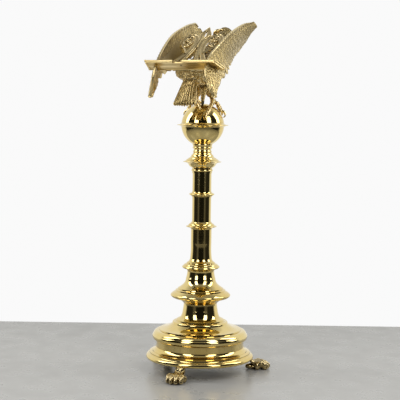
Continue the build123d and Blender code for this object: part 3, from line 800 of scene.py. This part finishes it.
def make_head():
    """The head: a blended skull and beak, a bright eye each side, and small feathers over crown and nape."""
    skull = blended("eagle_head_skull", head_lumps, 0.0014, 3, BRIGHT)
    head = place_piece("eagle_head_chased", skull, "eagle_head")
    details = Shape()
    x, y, z = HEAD
    for side in (-1, 1):
        lump(details, (x - 0.013, y + side * 0.0165, z + 0.0055), (0.0046, 0.004, 0.0046))
        lid = [(x - 0.0195, y + side * 0.013, z + 0.006), (x - 0.0195, y + side * 0.0165, z + 0.0045),
               (x - 0.015, y + side * 0.0195, z + 0.0008), (x - 0.009, y + side * 0.0185, z + 0.002)]
        horn(details, lid, (0.0008, 0.0012, 0.0013, 0.0008), steps=10, around=8)
    spine = smooth_curve([(x - 0.024, y, z + 0.006), (x - 0.01, y, z + 0.006), (x + 0.006, y, z + 0.002),
                          (x + 0.018, y - 0.003, z - 0.008), (x + 0.022, y - 0.008, z - 0.024)])
    jitter = random.Random(3)
    patch = tube_patch(spine, graded(0.0155, 0.0195, 0.0235, 0.025, 0.026))
    rows, count = 9, 20
    for row in range(rows):
        s = 0.22 + 0.085 * row
        for i in range(count):
            t = (i + 0.5 * (row % 2)) / count
            on_face = s < 0.45 and math.sin(2 * math.pi * t) < 0.35
            if on_face:
                continue
            add_feather(details, patch, (s, t), (s + 0.17, t + jitter.uniform(-0.01, 0.01)), 0.0085,
                        low=-0.0004, high=0.0014, depth=0.002, blunt=0.7, steps=5)
    place_detail("eagle_head_plumage", details.mesh("eagle_head_plumage", CHASED_PAINTED_SHADE), head)


# ---- tail ----
TAIL_TOP = (-0.152, 1.362)                 # (y, z) of its root under the rump
TAIL_TIP = (-0.232, 1.234)
TAIL_HALF_TOP = 0.029
TAIL_HALF_TIP = 0.054


def tail_patch(side):
    """Front (side 1, away from the reader) or back of the fan: s from root to tip, t from -1 to 1 across."""
    normal = np.array([0.0, TAIL_TOP[1] - TAIL_TIP[1], TAIL_TIP[0] - TAIL_TOP[0]])
    normal = normal / np.linalg.norm(normal)

    def patch(s, t):
        s, t = floats(s, t)
        half = TAIL_HALF_TOP + (TAIL_HALF_TIP - TAIL_HALF_TOP) * np.clip(s, 0, 1.1) ** 0.9
        cup = 0.01 * (1 - t ** 2) - 0.004 * s
        y = TAIL_TOP[0] + (TAIL_TIP[0] - TAIL_TOP[0]) * s
        z = TAIL_TOP[1] + (TAIL_TIP[1] - TAIL_TOP[1]) * s
        middle = np.stack([half * t, y, z], axis=-1) - normal * cup[..., None]
        tilt = np.stack([-0.35 * t, np.zeros_like(t), np.zeros_like(t)], axis=-1)
        lean_out = unit(tilt * side + normal * side)
        return middle + lean_out * 0.003, lean_out
    return patch


def make_tail():
    """A fan of long straight feathers over a thin cupped plate, with shorter coverts at its root."""
    shape = Shape()
    back, front = tail_patch(-1), tail_patch(1)
    rows, columns = 16, 14
    across = np.linspace(-1, 1, columns)
    ring = [(t, back) for t in across] + [(t, front) for t in across[::-1]]
    points = [patch(s, t)[0] for s in np.linspace(0.0, 0.93, rows) for t, patch in ring]
    shape.add(points, tube_faces(rows, len(ring)))
    outside_in = [-4, 4, -3, 3, -2, 2, -1, 1, 0]        # each feather overlaps the one outside it
    for patch in (back, front):
        for rank, place in enumerate(outside_in):
            t = place / 4.35
            tip = 1.03 - 0.045 * abs(place) / 4
            lift = 0.0022 + 0.0005 * rank
            add_feather(shape, patch, (0.02, 0.8 * t), (tip, t), 0.0155, low=0.0005, high=lift, depth=0.003,
                        blunt=0.14, steps=12, crown=0.0045)
        for row, (start, reach, count) in enumerate(((0.26, 0.34, 6), (0.1, 0.32, 6), (-0.04, 0.28, 5))):
            for i in range(count):
                t = (2 * (i + 0.5) / count - 1) * 0.86
                add_feather(shape, patch, (start, t * 0.92), (start + reach, t), 0.0165, low=0.002,
                            high=0.0062 + 0.001 * row, depth=0.003, blunt=0.5, crown=0.0022)
    shape.piece("tail_fan", "tail", BRIGHT)


# ---- legs and talons ----
ORB_CENTRE = Vector((0, 0, 1.148))
ORB_RADIUS = 0.099
ANKLE = (0.036, 0.014, 1.272)
FOOT_CENTRE = Vector((0.036, 0.01, 0.092)).normalized()      # from the orb's middle, right foot


def make_leg(side):
    """A feathered thigh, a bare scaled shank and the long feathers that hang behind it."""
    shape = Shape()
    jitter = random.Random(21)
    thigh = smooth_curve([(0.03, -0.03, 1.392), (0.031, -0.02, 1.36), (0.033, -0.008, 1.328),
                          (0.035, 0.004, 1.298), (0.036, 0.01, 1.282)])
    thigh_radius = graded(0.034, 0.036, 0.032, 0.023, 0.0145)
    feathered_tube(shape, smooth_curve(thigh(np.linspace(1, 0, 9))), lambda s: thigh_radius(1 - s),
                   0.032, 0.0155, 0.019, start=0.97, stop=0.06, high=0.0036, steps=24, jitter=jitter,
                   up=(0, 1, 0))
    shank = smooth_curve([(0.0355, 0.008, 1.292), ANKLE, (0.038, 0.014, 1.256), (0.04, 0.013, 1.24)])
    swept(shape, shank, lambda t: 0.0092 + 0.0018 * math.cos(2 * math.pi * t), 60, around=18, up=(0, 1, 0),
          lump=lambda t, a: 1 + 0.05 * abs(math.sin(9 * math.pi * t)))
    hang = smooth_curve([(0.026, -0.036, 1.322), (0.0215, -0.046, 1.296), (0.019, -0.052, 1.266),
                         (0.019, -0.054, 1.236)])
    swept(shape, hang, lambda t: 0.0115 * (1 - 0.62 * t), 26, around=16, up=(0, 1, 0), aspect=1.15,
          lump=lambda t, a: 1 + 0.1 * math.cos(5 * a))
    patch = tube_patch(hang, lambda s: 0.0118 * (1 - 0.55 * s), 1.15, (0, 1, 0))
    for turn in (-0.9, 0.0, 0.9):
        add_feather(shape, patch, (0.0, -0.25 + turn * 0.16), (0.62 + 0.2 * abs(turn), -0.25 + turn * 0.12),
                    0.012, high=0.0018, depth=0.003, blunt=0.4)
    name = "leg_right" if side > 0 else "leg_left"
    shape = shape if side > 0 else shape.mirrored()
    shape.piece(name + "_feathered", name, BRIGHT)


def on_orb(direction, angle, height):
    """A point over the ball: an angle away from the foot's middle, towards a compass direction."""
    east = X_AXIS - FOOT_CENTRE * FOOT_CENTRE.x
    east.normalize()
    north = FOOT_CENTRE.cross(east)
    heading = east * math.cos(math.radians(direction)) + north * math.sin(math.radians(direction))
    away = math.radians(angle)
    return ORB_CENTRE + (FOOT_CENTRE * math.cos(away) + heading * math.sin(away)) * (ORB_RADIUS + height)


# (compass direction, how far it reaches, thickness) of each toe of the right foot; 0 is its own right.
TOES = [(12, 29, 1.0), (62, 33, 1.0), (112, 28, 0.95)]
HIND_TOES = {1: (-68, 40, 1.15), -1: (-116, 30, 1.0)}      # of the right foot and of the left


# Joints of a toe: (fraction of its reach, height over the orb, radius).
TOE_JOINTS = [(0.00, 0.02, 0.0095), (0.36, 0.0215, 0.0088), (0.66, 0.015, 0.0082), (1.00, 0.0085, 0.0078)]
TOE_SCALES = 9


def toe_lumps(shape, direction, reach, thick):
    """One toe: three knuckled joints arching down to the ball."""
    for (f0, h0, r0), (f1, h1, r1) in zip(TOE_JOINTS, TOE_JOINTS[1:]):
        first, second = on_orb(direction, reach * f0, h0), on_orb(direction, reach * f1, h1)
        middle = (first + second) / 2
        horn(shape, [first, middle, second], (r0 * thick, 0.8 * (r0 + r1) / 2 * thick, r1 * thick),
             steps=10, up=FOOT_CENTRE)
        lump(shape, second, (r1 * thick * 1.08,) * 3, rows=8, around=12)


def foot_lumps(shape, side):
    """Toes, sole and ankle of one foot."""
    for toe in TOES + [HIND_TOES[side]]:
        toe_lumps(shape, *toe)
    lump(shape, on_orb(0, 0, 0.02), (0.0135, 0.0135, 0.012))
    horn(shape, [on_orb(0, 0, 0.016), on_orb(0, 1, 0.034)], (0.012, 0.01), steps=6, up=(0, 1, 0))


def talon_details(shape, side):
    """Curved claws and the scales along the top of each toe."""
    fractions, heights, _ = zip(*TOE_JOINTS)
    for direction, reach, thick in TOES + [HIND_TOES[side]]:
        base = on_orb(direction, reach + 1, 0.0095)
        if direction < 0:
            path = [base, on_orb(direction, reach + 9, 0.0115), on_orb(direction, reach + 19, 0.0065),
                    on_orb(direction, reach + 27, 0.0012)]
        else:
            path = [base, on_orb(direction, reach + 7, 0.017), on_orb(direction, reach + 14, 0.016),
                    on_orb(direction, reach + 18, 0.0085), on_orb(direction, reach + 17, 0.0012)]
        horn(shape, path, (0.0062 * thick, 0.006 * thick, 0.0045 * thick, 0.0028, 0.0008)[:len(path)],
             steps=22, up=FOOT_CENTRE)
        radius = 0.0082 * thick
        for i in range(TOE_SCALES):
            f = 0.06 + 0.9 * i / (TOE_SCALES - 1)
            height = float(np.interp(f, fractions, heights))
            place = on_orb(direction, reach * f, height + radius * 0.62)
            lump(shape, place, (radius * 0.72, radius * 0.72, radius * 0.4), rows=6, around=10)


def make_talons(side):
    """One foot that grips the orb; the left one is built on the right and mirrored."""
    name = "talons_right" if side > 0 else "talons_left"
    skin = blended(name + "_foot", lambda shape: foot_lumps(shape, side), 0.0016, 2, BRIGHT)
    details = Shape()
    talon_details(details, side)
    if side < 0:
        for vertex in skin.vertices:
            vertex.co.x = -vertex.co.x
        skin.flip_normals()
        details = details.mirrored()
    foot = place_piece(name + "_gripping", skin, name)
    place_detail(name + "_claws", details.mesh(name + "_claws", BRIGHT), foot)


# ---- desk: the scrolled book rest ----
DESK_ROOT = Vector((0, -0.212, 1.394))     # middle of its lower edge
DESK_TIP = Vector((0, 0.107, 1.603))       # point of the finial
DESK_THICK = 0.009
DESK_OFFSET = -0.014                       # the rest hangs a little to one side
DESK_UP = (DESK_TIP - DESK_ROOT).normalized()
DESK_NORMAL = X_AXIS.cross(DESK_UP)


def on_desk(u, v, w):
    """A point on the rest: u across, v up from the root, w above its face."""
    return DESK_ROOT + X_AXIS * (u + DESK_OFFSET) + DESK_UP * v + DESK_NORMAL * w


def symmetric(half):
    """A whole profile from its left half and middle, as (across, height) pairs."""
    return half + [(-across, height) for across, height in half[-2::-1]]


RIBBON_PROFILE = symmetric([(-1.0, -0.0018), (-0.84, -0.0002), (-0.72, 0.0004), (-0.58, -0.0006),
                            (-0.52, -0.0018), (0.0, -0.0012)])
LEAF_PROFILE = symmetric([(-1.0, -0.003), (-0.7, -0.0022), (-0.35, -0.0008), (-0.08, 0.0016), (0.0, 0.0022)])


def desk_strip(shape, path, widths, steps, section, flip, waves=0.0):
    """A strip that follows a curve on the rest, path and widths in millimetres, waves along its edges.

    section(half width) gives the outline of its cross-section: (across from -1 to 1, height) pairs.
    """
    curve = smooth_curve([(flip * u / 1000, v / 1000) for u, v in path])
    width = graded(*[w / 1000 for w in widths])
    points = []
    for t in np.linspace(0, 1, steps):
        u, v = curve(t)
        du, dv = curve(t + NUDGE) - curve(t - NUDGE)
        size = math.hypot(du, dv)
        across = (dv / size, -du / size)
        half = float(width(t)) / 2 * (1 + waves * math.sin(9 * math.pi * t))
        outline = section(half)
        for a, height in outline:
            points.append(on_desk(u + across[0] * a * half, v + across[1] * a * half, height))
    shape.add(points, tube_faces(steps, len(outline)))


def ribbon(shape, path, widths, steps, high=0.0, flip=1):
    """A flat bar with two raised edges and a flute between."""
    def section(half):
        groove = min(1.0, half / 0.006)
        face = [(a, high + rise * groove) for a, rise in RIBBON_PROFILE]
        back = [(a, high - DESK_THICK - rise * groove * 0.4) for a, rise in RIBBON_PROFILE[::-1]]
        return face + back
    desk_strip(shape, path, widths, steps, section, flip)


def leaf(shape, path, widths, flip=1, high=0.002, thick=0.008):
    """A pointed leaf with a raised midrib and hollowed halves."""
    face = [(a, high + rise) for a, rise in LEAF_PROFILE]
    back = [(a, high - thick) for a, _ in LEAF_PROFILE[::-1]]
    desk_strip(shape, path, widths, 26, lambda half: face + back, flip, waves=0.1)


# Right half of the rest in millimetres, (u, v): the S-shaped ribbon that winds into a volute, the inner
# ribbon that runs up into the finial, and the leaf outside.
SCROLL = [(75, 0), (72, 40), (64, 84), (48, 122), (34, 160), (26, 200), (23, 240), (27, 275), (40, 300),
          (62, 311), (84, 298), (94, 264), (87, 229), (68, 213), (51, 225), (45, 250), (50, 274), (63, 284),
          (75, 275), (77, 260), (68, 252)]
SCROLL_WIDTHS = (24, 24, 22, 21, 21, 20, 17, 13, 10, 9, 7)
INNER = [(44, 0), (38, 50), (30, 92), (22, 125), (14, 165), (9, 205), (8, 250), (9, 280), (15, 308),
         (15, 330), (8, 356), (2, 382)]
INNER_WIDTHS = (18, 18, 17, 15, 13, 12, 12, 15, 22, 14, 4)
LEAF = [(42, 142), (56, 170), (76, 198), (98, 236)]
LEAF_WIDTHS = (12, 18, 17, 3)


def make_scroll_rest():
    """Openwork rest: two S-scrolls with volutes, leaves outside them and a slotted, pointed finial."""
    shape = Shape()
    for flip in (1, -1):
        ribbon(shape, SCROLL, SCROLL_WIDTHS, steps=170, flip=flip)
        ribbon(shape, INNER, INNER_WIDTHS, steps=90, flip=flip, high=0.0006)
        leaf(shape, LEAF, LEAF_WIDTHS, flip=flip)
        lump(shape, on_desk(flip * 0.066, 0.257, -0.003), (0.007, 0.007, 0.007), rows=10)
    ribbon(shape, [(0, 352), (0, 368), (0, 388)], (11, 10, 1.5), steps=16, high=0.0009)
    leaf(shape, [(0, 196), (0, 222), (0, 252), (0, 284)], (6, 14, 12, 5), high=0.003, thick=0.011)
    shape.piece("scroll_rest_openwork", "scroll_rest", WORN)


# ---- ledge ----
LEDGE_ROOT = Vector((0, -0.212, 1.4))
LEDGE_RIM = Vector((0, -0.295, 1.4285))
LEDGE_OUT = (LEDGE_RIM - LEDGE_ROOT).normalized()
LEDGE_NORMAL = LEDGE_OUT.cross(X_AXIS)
LEDGE_DEPTH = (LEDGE_RIM - LEDGE_ROOT).length
LEDGE_HALF_ROOT = 0.181
LEDGE_HALF_RIM = 0.165
LEDGE_END = 0.009                           # width of the end mouldings
NOTCH = (-0.033, 0.011)                     # the gap in the rim
BEAD_RADIUS = 0.0046                        # of the bead along the root
BEAD_JOINTS = (0.002, 0.1, 0.149)
BEAD_GAP = 0.0006                           # half of the groove between two lengths of bead
BEAD_DROP = -0.0055


def on_ledge(x, depth, height):
    """A point on the ledge: depth out from the root, height above the shelf's face."""
    return LEDGE_ROOT + X_AXIS * x + LEDGE_OUT * depth + LEDGE_NORMAL * height


def ledge_half(depth):
    return LEDGE_HALF_ROOT + (LEDGE_HALF_RIM - LEDGE_HALF_ROOT) * depth / LEDGE_DEPTH


def shelf_strip(shape, left, right, depth):
    """Part of the shelf between two edges (functions of depth), with a coved underside."""
    rows = 12
    points = []
    for i in range(rows):
        d = depth * i / (rows - 1)
        cove = 0.0045 + 0.003 * math.cos(2 * math.pi * d / LEDGE_DEPTH) ** 2
        for x, height in ((left(d), 0.0), (right(d), 0.0), (right(d), -cove), (left(d), -cove)):
            points.append(on_ledge(x, d, height))
    shape.add(points, tube_faces(rows, 4, flip=True))


def bar(shape, start, end, outline, side, up):
    """A straight moulding: a closed outline of (side, up) points run from start to end."""
    points = [base + side * a + up * b for base in (start, end) for a, b in outline]
    shape.add(points, tube_faces(2, len(outline)))


# Cross-sections of the mouldings, (out, up) from the corner of the shelf.
RIM_OUTLINE = [(-0.011, 0.0), (-0.006, 0.0004), (-0.004, 0.002), (-0.0016, 0.0038), (0.0018, 0.0038),
               (0.0036, 0.0018), (0.0036, -0.0014), (0.0022, -0.004), (0.000, -0.0052), (-0.004, -0.0078),
               (-0.011, -0.0075)]
CAP_OUTLINE = [(0.0, -0.0078), (0.0042, -0.0105), (0.006, -0.01), (0.0064, -0.008), (0.0056, -0.0062),
               (0.0066, -0.003), (0.0086, -0.0012), (0.0098, 0.001), (0.0096, 0.0034), (0.007, 0.0042),
               (0.0038, 0.003), (0.0, 0.0)]


def make_ledge():
    """The shelf with its beaded root, the rim's mouldings either side of the notch, and the end mouldings."""
    shelf = Shape()
    end = lambda d: ledge_half(d) - LEDGE_END + 0.001
    notch_depth = LEDGE_DEPTH - 0.016
    shelf_strip(shelf, lambda d: -end(d), lambda d: NOTCH[0], LEDGE_DEPTH)
    shelf_strip(shelf, lambda d: NOTCH[0] - 0.0002, lambda d: NOTCH[1] + 0.0002, notch_depth)
    shelf_strip(shelf, lambda d: NOTCH[1], end, LEDGE_DEPTH)
    marks = sorted([-LEDGE_HALF_ROOT, *BEAD_JOINTS, LEDGE_HALF_ROOT])
    for left, right in zip(marks, marks[1:]):
        places = (left + BEAD_GAP, (left + right) / 2, right - BEAD_GAP)
        horn(shelf, [on_ledge(x, 0.0, BEAD_DROP) for x in places],
             [BEAD_RADIUS * grow for grow in (0.9, 1, 1, 1, 0.9)], steps=12, up=LEDGE_NORMAL)
    bar(shelf, on_ledge(-0.062, -0.004, -0.004), on_ledge(0.062, -0.004, -0.004),
        [(0, 0.006), (0.03, 0.006), (0.03, 0.001), (0, -0.002)], DESK_UP, DESK_NORMAL * -1)
    shelf.piece("ledge_shelf_coved", "ledge_shelf", SATIN, "satin_brass")
    for side, name in ((1, "right"), (-1, "left")):
        rim = Shape()
        inner = NOTCH[1] if side > 0 else NOTCH[0]
        rim_end = side * LEDGE_HALF_RIM
        ends = [on_ledge(x, LEDGE_DEPTH - 0.001, 0.0) for x in sorted((inner, rim_end))]
        bar(rim, *ends, RIM_OUTLINE, LEDGE_OUT, LEDGE_NORMAL)
        rim.piece(f"ledge_rim_{name}_moulding", f"ledge_rim_{name}", SATIN, "satin_brass", sharp=50.0)
        cap = Shape()
        start = on_ledge(side * (LEDGE_HALF_ROOT - LEDGE_END), 0.0, 0.0)
        finish = on_ledge(side * (LEDGE_HALF_RIM - LEDGE_END), LEDGE_DEPTH, 0.0)
        bar(cap, start, finish, CAP_OUTLINE[::side], X_AXIS * side, LEDGE_NORMAL)
        corner = on_ledge(side * (LEDGE_HALF_RIM - 0.002), LEDGE_DEPTH, 0.0006)
        lump(cap, corner, (0.0052, 0.0052, 0.0044), rows=8)
        cap.piece(f"ledge_end_{name}_moulding", f"ledge_end_{name}", SATIN, "satin_brass", sharp=50.0)


def screw_head(shape, centre, normal, radius):
    """A domed head with a cut slot along X."""
    side = normal.cross(X_AXIS)
    points = []
    rings, around = 5, 24
    for ring in range(rings):
        polar = math.pi / 2 * (1 - ring / (rings - 1) * 0.9)
        for i in range(around):
            angle = 2 * math.pi * i / around
            r = radius * math.sin(polar)
            a, b = r * math.cos(angle), r * math.sin(angle)
            rise = 0.45 * radius * math.cos(polar)
            in_slot = abs(b) < 0.16 * radius and ring > 0
            if in_slot:
                rise -= 0.28 * radius
            points.append(centre + X_AXIS * a + side * b + normal * rise)
    shape.add(points, tube_faces(rings, around))


def make_ledge_screws():
    """Two screws through the rest's feet and one under the shelf."""
    shape = Shape()
    for side in (-1, 1):
        screw_head(shape, on_desk(side * 0.062, 0.02, 0.0), DESK_NORMAL, 0.005)
    screw_head(shape, on_ledge(-0.006, 0.048, -0.006), -LEDGE_NORMAL, 0.0052)
    shape.piece("ledge_screws_slotted", "ledge_screws", MATERIALS["dark_screws"], "dark_screws")


# ---- feet ----
FLANGE_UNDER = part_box("base_flange")[0][2]
FOOT_REACH = 0.335            # from the axis to the front of the toes


TOE_PLACES = [(-0.0315, 0.012), (-0.011, 0.0), (0.011, 0.0), (0.0315, 0.012)]     # (x, how far back)


def paw_lumps(shape):
    """A lion's paw pointing along -Y: heel, grooved ankle, arched instep and four clawed toes."""
    lump(shape, (0, -0.238, 0.013), (0.019, 0.02, 0.013))
    lump(shape, (0, -0.252, 0.012), (0.024, 0.02, 0.012))
    for x in (-0.016, -0.0055, 0.0055, 0.016):
        horn(shape, [(0.9 * x, -0.238, FLANGE_UNDER - 0.001), (x, -0.244, 0.042), (1.25 * x, -0.262, 0.03),
                     (1.7 * x, -0.29, 0.032)], (0.0105, 0.0085, 0.0105, 0.011), steps=18, up=(0, 1, 0))
    lump(shape, (0, -0.24, 0.047), (0.023, 0.015, 0.0125))
    lump(shape, (0, -0.285, 0.018), (0.036, 0.034, 0.017))
    for x, back in TOE_PLACES:
        front = -FOOT_REACH + back
        lump(shape, (0.92 * x, front + 0.034, 0.03), (0.0112, 0.0165, 0.013), turn=(20, 0, 0))
        lump(shape, (x, front + 0.018, 0.021), (0.0108, 0.014, 0.0165), turn=(-15, 0, 0))
        lump(shape, (x, front + 0.0145, 0.01), (0.0105, 0.0125, 0.01))
    for side in (-1, 1):
        lump(shape, (side * 0.0335, -0.272, 0.017), (0.0095, 0.0145, 0.0165), turn=(0, 0, side * -20))


def paw_claws(shape):
    """A claw and its two folds of skin on each toe."""
    for x, back in TOE_PLACES:
        front = -FOOT_REACH + back
        claw = [(x, front + 0.011, 0.0245), (x, front + 0.0035, 0.0215), (x, front + 0.001, 0.013),
                (x, front + 0.0035, 0.0045)]
        horn(shape, claw, (0.0046, 0.0044, 0.0032, 0.0008), steps=16, aspect=0.8)
        for part in (-1, 1):
            fold = [(x + part * 0.0062, front + 0.04, 0.0385), (x + part * 0.0072, front + 0.022, 0.0345),
                    (x + part * 0.0066, front + 0.01, 0.0255)]
            horn(shape, fold, (0.0008, 0.002, 0.001), steps=14)


def make_feet():
    """One paw, copied round the base."""
    skin = blended("lion_paw", paw_lumps, 0.002, 3, PAW)
    claws = Shape()
    paw_claws(claws)
    lowest = min(vertex.co.z for vertex in skin.vertices)
    for vertex in skin.vertices:
        vertex.co.z = max(0.0, vertex.co.z - lowest)
    for name, turn in (("front", 0), ("right", 120), ("left", 240)):
        spin = Matrix.Rotation(math.radians(turn), 4, "Z")
        own = skin.copy()
        own.transform(spin)
        paw = place_piece(f"foot_{name}_paw", own, f"foot_{name}", body="stand")
        nails = claws.mesh(f"foot_{name}_claws", PAW)
        nails.transform(spin)
        place_detail(f"foot_{name}_claws", nails, paw)


make_camera()
make_floor()
make_softboxes()
make_room()

POLISHED = polished_brass()
# darker copy of the cast brass: painted shade on the wings, body and head plumage, with painted light below
# 1.39 m
CHASED_PAINTED_SHADE = chased_brass("chased_brass", ((0.56, 0.44, 0.2), (0.44, 0.33, 0.13)), (0.27, 0.38), painted_light_below=1.39)
BRIGHT = chased_brass("bright_cast_brass", ((0.84, 0.66, 0.31), (0.68, 0.5, 0.2)), (0.13, 0.22))
SATIN = satin_brass()
WORN = chased_brass("worn_brass", ((0.64, 0.5, 0.24), (0.46, 0.34, 0.14)), (0.22, 0.34))
PAW = chased_brass("paw_brass", ((0.5, 0.39, 0.19), (0.34, 0.25, 0.1)), (0.14, 0.26))
MATERIALS = {
    "polished_brass": POLISHED,
    "cast_brass": WORN,
    "satin_brass": SATIN,
    "steel": plain_metal("steel", (0.62, 0.62, 0.61), (0.45, 0.45, 0.45), (0.22, 0.38), 300.0),
    "dark_screws": plain_metal("dark_screws", (0.1, 0.09, 0.08), (0.05, 0.045, 0.04), (0.35, 0.55), 300.0),
    "cast_iron": plain_metal("cast_iron", (0.1, 0.1, 0.1), (0.06, 0.055, 0.05), (0.5, 0.7), 120.0),
    "bronze": plain_metal("bronze", (0.62, 0.36, 0.17), (0.48, 0.26, 0.12), (0.25, 0.4), 300.0),
}
for part in frame["record"]["subparts"]:
    cad = frame["nodes"][part["node"]]
    cad.data.materials.clear()
    cad.data.materials.append(MATERIALS[part["material_slot"]])

make_wings()
make_body()
make_head()
make_tail()
for side in (1, -1):
    make_leg(side)
    make_talons(side)
make_scroll_rest()
make_ledge()
make_ledge_screws()
make_feet()
